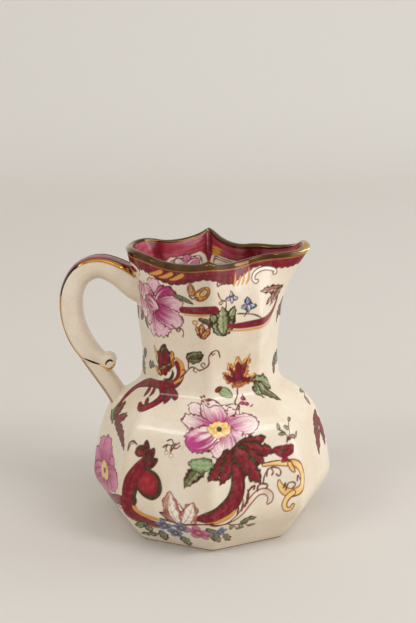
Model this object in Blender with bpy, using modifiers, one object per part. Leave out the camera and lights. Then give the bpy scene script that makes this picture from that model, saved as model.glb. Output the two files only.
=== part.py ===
"""An octagonal cream jug of glazed ceramic, 130 mm tall, with a strap handle and gilded edges.

Metres, +Z up. The origin is the middle of the flat foot, on the table. The spout points along +X and
the handle along -X, and the jug is the same on both sides of the plane Y = 0.
"""

import math

import bmesh
import bpy
from mathutils import Vector

# Driving dimensions. A radius is measured to the octagon's corners.
WALL = 0.0032
FLOOR_HEIGHT, FLOOR_INSET = 0.0032, 0.0021
FOOT_RADIUS, FOOT_EDGE = 0.0442, 0.0006
BELLY_RADIUS, BELLY_HEIGHT = 0.0574, 0.0188
BULGE_RADIUS, BULGE_HEIGHT = 0.0551, 0.0370
SHOULDER_RADIUS, SHOULDER_HEIGHT = 0.0492, 0.0542
SLOPE_RADIUS, SLOPE_HEIGHT = 0.0423, 0.0617
COLLAR_RADIUS, COLLAR_HEIGHT = 0.0330, 0.0678
NECK_RADIUS, NECK_HEIGHT = 0.0314, 0.0790
FLARE_RADIUS, FLARE_HEIGHT = 0.0334, 0.0990
RIM_HEIGHT = 0.1294
SPOUT_TIP = Vector((0.0470, 0.0, 0.1298))
ARRIS_ROUNDING, RIM_ROUNDING = 0.0022, 0.0064

GAP = 0.0003
LIP_GAP = 0.0006
JOINT_THICKNESS, JOINT_SPREAD = 0.0010, 1.10
GILDING_THICKNESS = 0.0004
GILDED_LIP, GILDED_SHARE_OF_LIP = 0.0023, 0.55
FOOT_LINE = (0.0008, 0.0014)
GILT_LINE_RADIUS = 0.00035

HANDLE_WIDTH, HANDLE_DEPTH = 0.0140, 0.0104
SPUR_RADIUS, SPUR_LENGTH, SPUR_ROUNDING = 0.0037, 0.0096, 0.0014

SIDE_STEPS = 6
CORNER_STEPS = 3
FLARE_LEVELS = 9
FLARE_CURVE = 1.5

# The rim's half outline from the handle corner to the spout tip, as one cubic Bezier for each side.
# Each side sags below its corners, and the two beside the spout are drawn in to pinch it.
HANDLE_CORNER = Vector((-0.0378, 0.0, RIM_HEIGHT))
BACK_CORNER = Vector((-0.0285, 0.0220, RIM_HEIGHT))
SIDE_CORNER = Vector((0.0016, 0.0470, 0.1300))
FRONT_CORNER = Vector((0.0220, 0.0160, 0.1276))
RIM_SIDES = (
    (HANDLE_CORNER, Vector((-0.0368, 0.0087, 0.1296)), Vector((-0.0338, 0.0160, 0.1296)), BACK_CORNER),
    (BACK_CORNER, Vector((-0.0195, 0.0273, 0.1254)), Vector((-0.0086, 0.0353, 0.1256)), SIDE_CORNER),
    (SIDE_CORNER, Vector((0.0074, 0.0302, 0.1258)), Vector((0.0138, 0.0200, 0.1250)), FRONT_CORNER),
    (FRONT_CORNER, Vector((0.0330, 0.0065, 0.1268)), Vector((0.0470, 0.0140, 0.1276)), SPOUT_TIP),
)


def clear_scene():
    for old in list(bpy.data.objects):
        bpy.data.objects.remove(old)


def collection(name):
    found = bpy.data.collections.new(name)
    bpy.context.scene.collection.children.link(found)
    return found


def material(name, colour, roughness, metallic=0.0):
    made = bpy.data.materials.new(name)
    made.use_nodes = True
    shader = made.node_tree.nodes["Principled BSDF"]
    shader.inputs["Base Color"].default_value = (*colour, 1.0)
    shader.inputs["Roughness"].default_value = roughness
    shader.inputs["Metallic"].default_value = metallic
    return made


def bezier(points, t):
    """The point at t along a Bezier of any degree."""
    points = list(points)
    while len(points) > 1:
        points = [a.lerp(b, t) for a, b in zip(points, points[1:])]
    return points[0]


# Sections of the jug ---------------------------------------------------------


def octagon_sides(radius, height):
    """The four sides of a regular half octagon, from the handle corner to the spout corner."""
    angles = [math.radians(180 - 45 * corner) for corner in range(5)]
    corners = [Vector((radius * math.cos(a), radius * math.sin(a), height)) for a in angles]
    sides = []
    for start, end in zip(corners, corners[1:]):
        sides.append([start.lerp(end, third / 3) for third in range(4)])
    return sides


def flared_sides(level):
    """The half section between the neck's octagon, at level 0, and the rim, at level 1."""
    sides = []
    for low, high in zip(octagon_sides(FLARE_RADIUS, FLARE_HEIGHT), RIM_SIDES):
        side = []
        for start, end in zip(low, high):
            point = start.lerp(end, level**FLARE_CURVE)
            point.z = start.z + (end.z - start.z) * level
            side.append(point)
        sides.append(side)
    return sides


def half_section(sides, level=0.0):
    """Points along four sides, with the corners rounded. The first and last lie on Y = 0."""
    rounding = ARRIS_ROUNDING + (RIM_ROUNDING - ARRIS_ROUNDING) * level
    ends = []
    for side in sides:
        share = rounding / (side[0] - side[3]).length
        ends.append((bezier(side, share), bezier(side, 1 - share), share))
    first_corner, last_corner = sides[0][0], sides[-1][3]
    start, finish = ends[0][0], ends[-1][1]
    mirror_start = Vector((start.x, -start.y, start.z))
    mirror_finish = Vector((finish.x, -finish.y, finish.z))
    points = [bezier((mirror_start, first_corner, start), 0.5)]
    for index, side in enumerate(sides):
        share = ends[index][2]
        for step in range(SIDE_STEPS + 1):
            points.append(bezier(side, share + (1 - 2 * share) * step / SIDE_STEPS))
        if index < len(sides) - 1:
            corner = (ends[index][1], side[3], ends[index + 1][0])
            points.extend(bezier(corner, step / CORNER_STEPS) for step in range(1, CORNER_STEPS))
    points.append(bezier((finish, last_corner, mirror_finish), 0.5))
    points[0].y = points[-1].y = 0.0
    return points


def softened(outline):
    """(radius, height) along an outline whose corners are rounded by the length each one names."""
    found = []
    for index, (point, length, steps) in enumerate(outline):
        if not length:
            found.append(point)
            continue
        before = point + (outline[index - 1][0] - point).normalized() * length
        after = point + (outline[index + 1][0] - point).normalized() * length
        found.extend(bezier((before, point, after), step / steps) for step in range(steps + 1))
    return found


def body_profile():
    """The outer corner line of the jug from the foot to the start of the flare."""
    return softened(
        (
            (Vector((FOOT_RADIUS - FOOT_EDGE, 0.0)), 0, 0),
            (Vector((FOOT_RADIUS, FOOT_EDGE)), 0, 0),
            (Vector((BELLY_RADIUS, BELLY_HEIGHT)), 0.0045, 3),
            (Vector((BULGE_RADIUS, BULGE_HEIGHT)), 0.0080, 2),
            (Vector((SHOULDER_RADIUS, SHOULDER_HEIGHT)), 0.0035, 3),
            (Vector((SLOPE_RADIUS, SLOPE_HEIGHT)), 0.0030, 2),
            (Vector((COLLAR_RADIUS, COLLAR_HEIGHT)), 0.0024, 3),
            (Vector((NECK_RADIUS, NECK_HEIGHT)), 0.0060, 2),
            (Vector((FLARE_RADIUS, FLARE_HEIGHT)), 0, 0),
        )
    )


def whole_loop(half):
    """A closed loop from a half section, going round with the other half mirrored in Y = 0."""
    mirrored = [Vector((p.x, -p.y, p.z)) for p in reversed(half[1:-1])]
    return half + mirrored


def flared_loop(level):
    return whole_loop(half_section(flared_sides(level), level))


def jug_loops():
    """Closed loops up the outer surface, from the foot to the rim."""
    sections = [half_section(octagon_sides(p.x, p.y)) for p in body_profile()]
    loops = [whole_loop(half) for half in sections]
    loops.extend(flared_loop(step / FLARE_LEVELS) for step in range(1, FLARE_LEVELS + 1))
    return loops


def directions(loop, below, above):
    """(outward, up) at each point of a loop, where up runs along the surface from below to above."""
    found = []
    for index, (base, top) in enumerate(zip(below, above)):
        along = loop[(index + 1) % len(loop)] - loop[index - 1]
        up = (top - base).normalized()
        found.append((up.cross(along).normalized(), up))
    return found


def offset_loops(loops, distance):
    """The loops moved square to the surface that they make."""
    moved = []
    for index, loop in enumerate(loops):
        below, above = loops[max(index - 1, 0)], loops[min(index + 1, len(loops) - 1)]
        outward = directions(loop, below, above)
        moved.append([point + out * distance for point, (out, _) in zip(loop, outward)])
    return moved


# Meshes ----------------------------------------------------------------------


def mesh_object(name, fill, parts, look=None):
    """An object whose mesh is made by fill(bm), in the collection parts."""
    bm = bmesh.new()
    fill(bm)
    mesh = bpy.data.meshes.new(name)
    bm.to_mesh(mesh)
    bm.free()
    made = bpy.data.objects.new(name, mesh)
    parts.objects.link(made)
    if look:
        mesh.materials.append(look)
    return made


def bridge(bm, lower, upper):
    """Faces between two closed loops of vertices of the same length."""
    for index in range(len(lower)):
        after = (index + 1) % len(lower)
        bm.faces.new((lower[index], upper[index], upper[after], lower[after]))


def loft(bm, loops, capped=False, ring=False):
    rows = [[bm.verts.new(point) for point in loop] for loop in loops]
    for lower, upper in zip(rows, rows[1:]):
        bridge(bm, lower, upper)
    if ring:
        bridge(bm, rows[-1], rows[0])
    if capped:
        bm.faces.new(rows[0])
        bm.faces.new(rows[-1])
    bmesh.ops.recalc_face_normals(bm, faces=bm.faces)
    if bm.calc_volume(signed=True) < 0:
        bmesh.ops.reverse_faces(bm, faces=bm.faces)


def smooth(made, angle=35):
    made.data.shade_smooth()
    made.data.set_sharp_from_angle(angle=math.radians(angle))


def boolean(made, operation, other):
    modifier = made.modifiers.new(f"{operation.lower()}_{other.name}", "BOOLEAN")
    modifier.operation = operation
    modifier.object = other
    modifier.solver = "EXACT"
    return modifier


def as_cutter(made):
    made.hide_render = True
    made.display_type = "WIRE"
    return made


# Pieces ----------------------------------------------------------------------


def make_body(parts, look):
    """The slip-cast shell, with an even wall from the floor to the lip."""
    outside = jug_loops()
    inside = offset_loops(outside, -WALL)[2:]
    floor = whole_loop(half_section(octagon_sides(FOOT_RADIUS - FLOOR_INSET, FLOOR_HEIGHT)))
    loops = [*outside, *reversed(inside), floor]
    body = mesh_object("jug_body", lambda bm: loft(bm, loops, capped=True), parts, look)
    smooth(body)
    return body


def jug_envelope(name, distance, cutters):
    """A closed solid of the jug's outer shape, grown by distance."""
    loops = offset_loops(jug_loops(), distance)
    return as_cutter(mesh_object(name, lambda bm: loft(bm, loops, capped=True), cutters))


def rim_band(parts, look):
    """The gold on the lip: it wraps the top edge and a little of the outer face."""
    rim = flared_loop(1.0)
    below = flared_loop(1.0 - GILDED_LIP / (RIM_HEIGHT - FLARE_HEIGHT))
    near, far, over = GAP, GAP + GILDING_THICKNESS, -GILDED_SHARE_OF_LIP * WALL
    low, high = LIP_GAP, LIP_GAP + GILDING_THICKNESS
    rows = []
    for base, top, (out, up) in zip(below, rim, directions(rim, below, rim)):
        corners = ((base, near, 0), (base, far, 0), (top, far, high), (top, over, high), (top, over, low))
        row = [point + out * outwards + up * upwards for point, outwards, upwards in corners]
        rows.append([*row, top + out * near + up * low])
    loops = [[row[corner] for row in rows] for corner in range(6)]
    band = mesh_object("rim_gilding", lambda bm: loft(bm, loops, ring=True), parts, look)
    smooth(band)
    return band


def foot_band(parts, look):
    """The thin painted line round the foot."""
    slope = (BELLY_RADIUS - FOOT_RADIUS) / (BELLY_HEIGHT - FOOT_EDGE)
    sloped_gap = GAP * math.hypot(1.0, slope)
    near, far = [], []
    for height in FOOT_LINE:
        radius = FOOT_RADIUS + (height - FOOT_EDGE) * slope + sloped_gap
        near.append(whole_loop(half_section(octagon_sides(radius, height))))
        far.append(whole_loop(half_section(octagon_sides(radius + GILDING_THICKNESS, height))))
    loops = [near[0], far[0], far[1], near[1]]
    band = mesh_object("foot_gilding", lambda bm: loft(bm, loops, ring=True), parts, look)
    smooth(band)
    return band


# Centre lines of the handle in the plane Y = 0, as (x, z, thickness / HANDLE_DEPTH).
ARCH_LINE = (
    (-0.0240, 0.1070, 1.30),
    (-0.0335, 0.1122, 1.22),
    (-0.0410, 0.1178, 1.08),
    (-0.0495, 0.1210, 0.98),
    (-0.0574, 0.1184, 1.00),
    (-0.0620, 0.1115, 1.00),
    (-0.0633, 0.1035, 1.00),
    (-0.0627, 0.0960, 0.98),
    (-0.0601, 0.0880, 0.95),
    (-0.0556, 0.0809, 0.88),
    (-0.0508, 0.0771, 0.68),
    (-0.0478, 0.0763, 0.60),
)
LEG_LINE = (
    (-0.0590, 0.0830, 0.70),
    (-0.0545, 0.0763, 0.76),
    (-0.0498, 0.0695, 0.80),
    (-0.0456, 0.0630, 0.82),
    (-0.0425, 0.0570, 0.84),
    (-0.0395, 0.0500, 0.86),
)
LINE_STEPS = 3
SPUR_CENTRE = Vector((-0.0474, 0.0, 0.0762))

# The handle's section, across and outwards in shares of half its width and half its depth: a face
# crowned between two gilded edges, upright sides, and an inside that is cut back for the fingers.
GILDED_EDGE = (1.0, 0.78)
HALF_SECTION = ((0.0, 1.0), (0.5, 0.98), GILDED_EDGE, (1.0, -0.12), (0.86, -0.62), (0.45, -1.0))


def sampled(line):
    """(centre, outward, size) along a line, on the curve that passes smoothly through its points."""
    points = [Vector(point) for point in line]
    points = [2 * points[0] - points[1], *points, 2 * points[-1] - points[-2]]
    found = []
    for a, b, c, d in zip(points, points[1:], points[2:], points[3:]):
        for step in range(LINE_STEPS):
            found.append(bezier((b, b + (c - a) / 6, c - (d - b) / 6, c), step / LINE_STEPS))
    found.append(points[-2])
    samples = []
    for index, point in enumerate(found):
        along = found[min(index + 1, len(found) - 1)] - found[max(index - 1, 0)]
        outward = Vector((along.y, 0.0, -along.x)).normalized()
        samples.append((Vector((point.x, 0.0, point.y)), outward, point.z))
    return samples


def strap(name, line, parts, grown=1.0, look=None):
    """A closed sweep of the handle's section along a line."""
    section = [*HALF_SECTION, *[(-across, out) for across, out in reversed(HALF_SECTION[1:])]]
    loops = []
    for centre, outward, size in sampled(line):
        half_width = Vector((0.0, size * grown * HANDLE_WIDTH / 2, 0.0))
        half_depth = outward * (size * grown * HANDLE_DEPTH / 2)
        loops.append([centre + half_width * across + half_depth * out for across, out in section])
    made = mesh_object(name, lambda bm: loft(bm, loops, capped=True), parts, look)
    smooth(made, 50)
    return made


def make_spur(cutters):
    """The rolled end of the arch, a short roller across the handle."""
    bpy.ops.mesh.primitive_cylinder_add(
        vertices=20, radius=SPUR_RADIUS, depth=SPUR_LENGTH, location=SPUR_CENTRE, rotation=(math.pi / 2, 0, 0)
    )
    spur = bpy.context.object
    spur.name = "spur_roll"
    for owner in list(spur.users_collection):
        owner.objects.unlink(spur)
    cutters.objects.link(spur)
    rounding = spur.modifiers.new("rounded_ends", "BEVEL")
    rounding.width = SPUR_ROUNDING
    rounding.segments = 2
    return as_cutter(spur)


def make_handle(parts, cutters, look):
    """The cast handle: arch, spur and leg in one piece, cut back from the jug by its joints."""
    handle = strap("handle", ARCH_LINE, parts, look=look)
    leg = as_cutter(strap("handle_leg", LEG_LINE, cutters))
    boolean(handle, "UNION", leg)
    boolean(handle, "UNION", make_spur(cutters))
    boolean(handle, "DIFFERENCE", jug_envelope("handle_clearance", 2 * GAP + JOINT_THICKNESS, cutters))
    return handle


def make_joint(name, line, parts, cutters, look):
    """The fillet of slip that holds one end of the handle: a slab between the handle and the jug."""
    joint = strap(name, line, parts, grown=JOINT_SPREAD, look=look)
    boolean(joint, "INTERSECT", cutters.objects["joint_outside"])
    boolean(joint, "DIFFERENCE", cutters.objects["joint_inside"])
    return joint


def gilt_line(name, side, parts, look):
    """The gold line along one edge of the handle's outer face, from the neck to the spur."""
    clear = 1.2 * GAP + GILT_LINE_RADIUS
    samples = sampled(ARCH_LINE)[2 * LINE_STEPS + 1 : -2 * LINE_STEPS]
    curve = bpy.data.curves.new(name, "CURVE")
    curve.dimensions = "3D"
    curve.bevel_depth = GILT_LINE_RADIUS
    curve.bevel_resolution = 1
    curve.use_fill_caps = True
    spline = curve.splines.new("POLY")
    spline.points.add(len(samples) - 1)
    across, out = GILDED_EDGE
    for point, (centre, outward, size) in zip(spline.points, samples):
        edge = centre + outward * (out * size * HANDLE_DEPTH / 2 + 0.5 * clear)
        edge.y = side * (across * size * HANDLE_WIDTH / 2 + 0.9 * clear)
        point.co = (*edge, 1.0)
    line = bpy.data.objects.new(name, curve)
    curve.materials.append(look)
    parts.objects.link(line)
    weld = line.modifiers.new("welded_caps", "WELD")
    weld.merge_threshold = 0.00001
    return line


def main():
    clear_scene()
    parts = collection("cream_jug")
    cutters = collection("cutters")
    cutters.hide_render = True
    glaze = material("ivory_glaze", (0.83, 0.74, 0.60), 0.12)
    slip = material("glazed_slip", (0.80, 0.71, 0.57), 0.15)
    gold = material("fired_gold", (0.83, 0.58, 0.22), 0.2, 1.0)
    make_body(parts, glaze)
    jug_envelope("joint_inside", GAP, cutters)
    jug_envelope("joint_outside", GAP + JOINT_THICKNESS, cutters)
    make_handle(parts, cutters, glaze)
    make_joint("upper_handle_joint", ARCH_LINE[:4], parts, cutters, slip)
    make_joint("lower_handle_joint", LEG_LINE[2:], parts, cutters, slip)
    rim_band(parts, gold)
    foot_band(parts, gold)
    gilt_line("handle_gilding_front", -1, parts, gold)
    gilt_line("handle_gilding_back", 1, parts, gold)


main()
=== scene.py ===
"""Looks of an octagonal cream jug: ivory glaze, a printed and hand-coloured flower pattern, and gilding.

Metres, in the frame of the CAD model: the spout points along +X and the handle along -X.
The pattern is painted in millimetres on the unrolled wall. There, a point has a turn, which counts the
eight sides from the handle round by the front (-Y) to the spout at 4 and on round the back, and a rise,
the way up the wall from the foot.
"""

import math

import bmesh
import bpy
import numpy as np
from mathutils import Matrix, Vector
from mathutils.bvhtree import BVHTree


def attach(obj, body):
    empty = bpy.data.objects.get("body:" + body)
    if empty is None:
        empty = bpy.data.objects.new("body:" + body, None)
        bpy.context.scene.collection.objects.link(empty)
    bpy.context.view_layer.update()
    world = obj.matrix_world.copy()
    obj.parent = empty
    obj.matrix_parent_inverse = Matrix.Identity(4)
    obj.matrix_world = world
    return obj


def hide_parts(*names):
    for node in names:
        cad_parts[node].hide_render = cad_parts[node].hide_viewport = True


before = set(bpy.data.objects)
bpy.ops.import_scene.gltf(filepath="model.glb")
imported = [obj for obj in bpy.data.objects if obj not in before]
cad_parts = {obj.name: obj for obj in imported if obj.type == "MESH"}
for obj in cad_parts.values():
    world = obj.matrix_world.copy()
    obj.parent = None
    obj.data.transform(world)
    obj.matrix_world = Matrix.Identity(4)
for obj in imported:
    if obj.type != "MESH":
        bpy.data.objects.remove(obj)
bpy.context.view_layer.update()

# Shape of the jug, as in the CAD model -------------------------------------------------------------

WALL = 0.0032
FLOOR_HEIGHT, FLOOR_MARGIN = 0.0032, 0.0004
PROFILE = (
    # corner radius, height, length of the rounding
    (0.0436, 0.0000, 0.0),
    (0.0442, 0.0006, 0.0),
    (0.0574, 0.0188, 0.0052),
    (0.0551, 0.0370, 0.0080),
    (0.0492, 0.0542, 0.0038),
    (0.0423, 0.0617, 0.0034),
    (0.0330, 0.0678, 0.0030),
    (0.0314, 0.0790, 0.0060),
    (0.0334, 0.0990, 0.0),
)
ROUNDING_STEPS = 12
INSIDE_EVENING = 14
FLARE_RADIUS, FLARE_HEIGHT = PROFILE[-1][:2]
RIM_HEIGHT = 0.1294
ARRIS_ROUNDING, RIM_ROUNDING = 0.0022, 0.0064
FLARE_CURVE = 1.5
RIM_LINE = (
    # corners of the lip, with two guide points between each and the next
    (-0.0378, 0.0, 0.1294), (-0.0368, -0.0087, 0.1296), (-0.0338, -0.0160, 0.1296),
    (-0.0285, -0.0220, 0.1294), (-0.0195, -0.0273, 0.1254), (-0.0086, -0.0353, 0.1256),
    (0.0016, -0.0470, 0.1300), (0.0074, -0.0302, 0.1258), (0.0138, -0.0200, 0.1250),
    (0.0220, -0.0160, 0.1276), (0.0330, -0.0065, 0.1268), (0.0470, -0.0140, 0.1276),
    (0.0470, 0.0, 0.1298),
)
RIM_SIDES = [RIM_LINE[corner : corner + 4] for corner in (0, 3, 6, 9)]
LIP_RISE = 0.00085
GLAZE_OVER_BODY, PRINT_OVER_GLAZE = 0.0001, 0.00006
LOWEST_INSIDE_PRINT = 96  # mm up the wall

COLUMNS = 104
ROW_STEP = 0.00034
FLARE_ROWS = 94

HANDLE_WIDTH, HANDLE_DEPTH = 0.0140, 0.0104
# (x, z, share of the full width and depth) along the handle
ARCH_LINE = (
    (-0.0240, 0.1070, 1.30), (-0.0335, 0.1122, 1.22), (-0.0410, 0.1178, 1.08), (-0.0495, 0.1210, 0.98),
    (-0.0574, 0.1184, 1.00), (-0.0620, 0.1115, 1.00), (-0.0633, 0.1035, 1.00), (-0.0627, 0.0960, 0.98),
    (-0.0601, 0.0880, 0.95), (-0.0556, 0.0809, 0.88), (-0.0508, 0.0771, 0.68), (-0.0478, 0.0763, 0.60),
)
LEG_LINE = (
    (-0.0590, 0.0830, 0.70), (-0.0545, 0.0763, 0.76), (-0.0498, 0.0695, 0.80), (-0.0456, 0.0630, 0.82),
    (-0.0425, 0.0570, 0.84), (-0.0395, 0.0500, 0.86),
)
LINE_STEPS = 10
HANDLE_ROOT, HANDLE_VOXEL = 0.0010, 0.00034
SPUR_CENTRE, SPUR_RADIUS, SPUR_HALF = (-0.0474, 0.0762), 0.0036, 0.0048
HALF_SECTION = ((0.0, 1.0), (0.5, 0.98), (1.0, 0.78), (1.0, -0.12), (0.86, -0.62), (0.45, -1.0))
GILDED_EDGE = (1.0, 0.78)
SHADED_STRETCH = (-0.0585, 0.1090)  # painted shadow: the gold line is umber further back and higher than this
RIM_FILM, FEATHER_EDGE, MARK_HEIGHT = 0.00007, 0.00001, 0.00012  # how far gold stands out
GOLD_BACK = 0.0002  # how far its hidden side reaches into the glaze
FOOT_LINE_HEIGHT = 0.0007
SLIP_CLIMB, SLIP_SPREAD = 0.0024, 0.0021  # up the handle, and out on the wall

# Gold strokes round the spur: (x, z, half width)
SPUR_STROKE = "-0.0579 0.0791 0.0002, -0.0560 0.0781 0.0004, -0.0535 0.0768 0.0005, -0.0511 0.0757 0.0003"
SPUR_CRESCENT = (
    "-0.0512 0.0757 0.0002, -0.0490 0.0742 0.0004, -0.0470 0.0735 0.0006, -0.0451 0.0741 0.0007, "
    "-0.0439 0.0759 0.0004"
)
SPUR_HOOK = "-0.0483 0.0754 0.0002, -0.0478 0.0767 0.0004, -0.0463 0.0777 0.0005, -0.0449 0.0770 0.0003"


def points(text):
    """Rows of numbers from text: "1 2, 3 4" stands for ((1, 2), (3, 4)). Rows stay as they are."""
    if not isinstance(text, str):
        return text
    return [tuple(float(number) for number in row.split()) for row in text.split(",")]


def bezier(guides, t):
    guides = list(guides)
    while len(guides) > 1:
        guides = [a + (b - a) * t for a, b in zip(guides, guides[1:])]
    return guides[0]


def unit(vectors):
    return vectors / np.maximum(np.linalg.norm(vectors, axis=-1, keepdims=True), 1e-12)


def mirrored(point):
    return point * np.array((1.0, -1.0, 1.0))


def profile_line():
    """(corner radius, height) up the wall to the flare, every ROW_STEP, and how far up the wall each is."""
    line = [np.array(PROFILE[0][:2])]
    for before, at, after in zip(PROFILE, PROFILE[1:], PROFILE[2:]):
        corner, length = np.array(at[:2]), at[2]
        start = corner + unit(np.array(before[:2]) - corner) * length
        end = corner + unit(np.array(after[:2]) - corner) * length
        steps = ROUNDING_STEPS if length else 0
        line.extend(bezier((start, corner, end), step / max(steps, 1)) for step in range(steps + 1))
    line.append(np.array(PROFILE[-1][:2]))
    line = np.array(line)
    along = np.concatenate(([0.0], np.cumsum(np.linalg.norm(np.diff(line, axis=0), axis=1))))
    rises = np.linspace(0.0, along[-1], round(along[-1] / ROW_STEP) + 1)
    return np.stack([np.interp(rises, along, line[:, axis]) for axis in range(2)], axis=1), rises


def octagon_sides(radius, height):
    angles = [math.radians(180 + 45 * corner) for corner in range(5)]
    corners = [np.array((radius * math.cos(a), radius * math.sin(a), height)) for a in angles]
    return [[a + (b - a) * third / 3 for third in range(4)] for a, b in zip(corners, corners[1:])]


def flared_sides(level):
    sides = []
    for low, high in zip(octagon_sides(FLARE_RADIUS, FLARE_HEIGHT), RIM_SIDES):
        side = []
        for start, end in zip(low, high):
            end = np.array(end)
            point = start + (end - start) * level**FLARE_CURVE
            point[2] = start[2] + (end[2] - start[2]) * level
            side.append(point)
        sides.append(side)
    return sides


def section(sides, rounding):
    """A closed loop round the jug: COLUMNS points for each of the eight sides, starting at the handle."""
    across = np.arange(COLUMNS + 1)[:, None] / COLUMNS
    shares = [rounding / np.linalg.norm(side[3] - side[0]) for side in sides]
    starts = [bezier(side, share) for side, share in zip(sides, shares)]
    ends = [bezier(side, 1 - share) for side, share in zip(sides, shares)]
    half = []
    for index, (side, share) in enumerate(zip(sides, shares)):
        before = ends[index - 1] if index else mirrored(starts[0])
        after = starts[index + 1] if index < 3 else mirrored(ends[3])
        first = bezier((before, side[0], starts[index]), 0.5 + 0.5 * np.minimum(across / share, 1))
        last = bezier((ends[index], side[3], after), 0.5 * np.maximum((across - 1 + share) / share, 0))
        middle = bezier(side, across)
        row = np.where(across < share, first, np.where(across > 1 - share, last, middle))
        half.append(row[:-1] if index < 3 else row)
    half = np.concatenate(half)
    return np.concatenate((half, mirrored(half[-2:0:-1])))


def wall_grid():
    """Points of the outer surface by row and column, each row's rise in mm, and its sides' widths in mm."""
    line, rises = profile_line()
    rows = [(octagon_sides(radius, height), ARRIS_ROUNDING) for radius, height in line]
    rises = list(rises)
    for step in range(1, FLARE_ROWS + 1):
        level = step / FLARE_ROWS
        rounding = ARRIS_ROUNDING + (RIM_ROUNDING - ARRIS_ROUNDING) * level
        rows.append((flared_sides(level), rounding))
        rises.append(rises[len(line) - 1] + level * (RIM_HEIGHT - FLARE_HEIGHT))
    points = np.array([section(*row) for row in rows])
    half = np.array([[np.linalg.norm(side[3] - side[0]) for side in sides] for sides, _ in rows])
    return points, np.array(rises) * 1000, np.concatenate((half, half[:, ::-1]), axis=1) * 1000


def grid_normals(grid):
    """Outward normals of a grid that closes on itself along its rows."""
    along = np.roll(grid, -1, axis=1) - np.roll(grid, 1, axis=1)
    return unit(np.cross(along, np.gradient(grid, axis=0)))


WALL_POINTS, RISES, WIDTHS = wall_grid()
WALL_NORMALS = grid_normals(WALL_POINTS)
# Normals averaged along each row, so that a thick wall's inside has no folds at the corners.
EVENING = range(-INSIDE_EVENING, INSIDE_EVENING + 1)
INWARD = unit(sum(np.roll(WALL_NORMALS, shift, axis=1) for shift in EVENING))
LIP_UP = unit(WALL_POINTS[-1] - WALL_POINTS[-3])
ALL_COLUMNS = 8 * COLUMNS


def lip_row(turn, film=0.0):
    """The rounded lip at a turn from its outer face, 0, over to its inner face, pi."""
    out = -WALL / 2 + (WALL / 2 + film) * math.cos(turn)
    return WALL_POINTS[-1] + INWARD[-1] * out + LIP_UP * (LIP_RISE + film) * math.sin(turn)


def circle(steps):
    """(cosine, sine) of each step of a turn."""
    turns = [2 * math.pi * step / steps for step in range(steps)]
    return [(math.cos(turn), math.sin(turn)) for turn in turns]


# Meshes --------------------------------------------------------------------------------------------


def new_object(name, data):
    made = bpy.data.objects.new(name, data)
    bpy.context.scene.collection.objects.link(made)
    return made


def grid_quads(grid, closed):
    """The corners of a grid's faces. A closed grid joins each row's ends."""
    rows, columns = grid.shape[:2]
    index = np.arange(rows * columns).reshape(rows, columns)
    if closed:
        index = np.concatenate((index, index[:, :1]), axis=1)
    quads = np.stack((index[:-1, :-1], index[:-1, 1:], index[1:, 1:], index[1:, :-1]), axis=-1)
    return quads.reshape(-1, 4)


def grid_object(name, grid, look, closed=False, normals=None, colours=None):
    """A sheet of quads through rows of points."""
    mesh = bpy.data.meshes.new(name)
    mesh.from_pydata(grid.reshape(-1, 3), [], grid_quads(grid, closed))
    mesh.materials.append(look)
    mesh.shade_smooth()
    if colours is not None:
        add_colours(mesh, colours)
    if normals is not None:
        mesh.normals_split_custom_set_from_vertices(normals.reshape(-1, 3))
    return new_object(name, mesh)


def add_colours(mesh, colours):
    layer = mesh.color_attributes.new("print", "FLOAT_COLOR", "POINT")
    layer.data.foreach_set("color", colours.astype(np.float32).ravel())


def join_rings(bm, rings):
    """Quads between each closed ring of vertices and the next."""
    for lower, upper in zip(rings, rings[1:]):
        for index in range(len(lower)):
            after = (index + 1) % len(lower)
            bm.faces.new((lower[index], lower[after], upper[after], upper[index]))


def lathe(bm, rows):
    """Faces through closed rows of points."""
    rings = [[bm.verts.new(point) for point in row] for row in rows]
    join_rings(bm, rings)
    return rings


def close_over(bm, ring, height):
    """A flat disc of quads inside a ring, to its middle, at that height."""
    rings = [ring]
    outline = np.array([tuple(vert.co) for vert in ring])
    for share in (0.94, 0.8, 0.6, 0.4, 0.2, 0.08):
        rings.append([bm.verts.new(point) for point in outline * (share, share, 0.0) + (0.0, 0.0, height)])
    join_rings(bm, rings)
    bm.faces.new(rings[-1])


def mesh_object(name, bm):
    """An object of a closed bmesh, with its faces outwards."""
    bmesh.ops.recalc_face_normals(bm, faces=bm.faces)
    if bm.calc_volume(signed=True) < 0:
        bmesh.ops.reverse_faces(bm, faces=bm.faces)
    mesh = bpy.data.meshes.new(name)
    bm.to_mesh(mesh)
    bm.free()
    return new_object(name, mesh)


def finished(piece, look, sharp=None):
    """The piece with its material and smooth shading, but for edges sharper than that angle."""
    piece.data.materials.clear()
    piece.data.materials.append(look)
    piece.data.shade_smooth()
    if sharp is not None:
        piece.data.set_sharp_from_angle(angle=math.radians(sharp))
    return piece


def make_body(look):
    """The whole shell: outside, rounded lip, inside and floor, and the flat foot."""
    outside = (WALL_POINTS - WALL_NORMALS * GLAZE_OVER_BODY)[::4, ::2]
    lip = [lip_row(math.pi * step / 12)[::2] for step in range(1, 12)]
    inside = (WALL_POINTS - INWARD * WALL)[::-6, ::2]
    inside = inside[inside[:, :, 2].min(axis=1) > FLOOR_HEIGHT + FLOOR_MARGIN]
    bm = bmesh.new()
    rings = lathe(bm, [*outside, *lip, *inside])
    close_over(bm, rings[0], 0.0)
    close_over(bm, rings[-1], FLOOR_HEIGHT)
    return finished(mesh_object("body_glaze", bm), look, 38)


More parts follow.
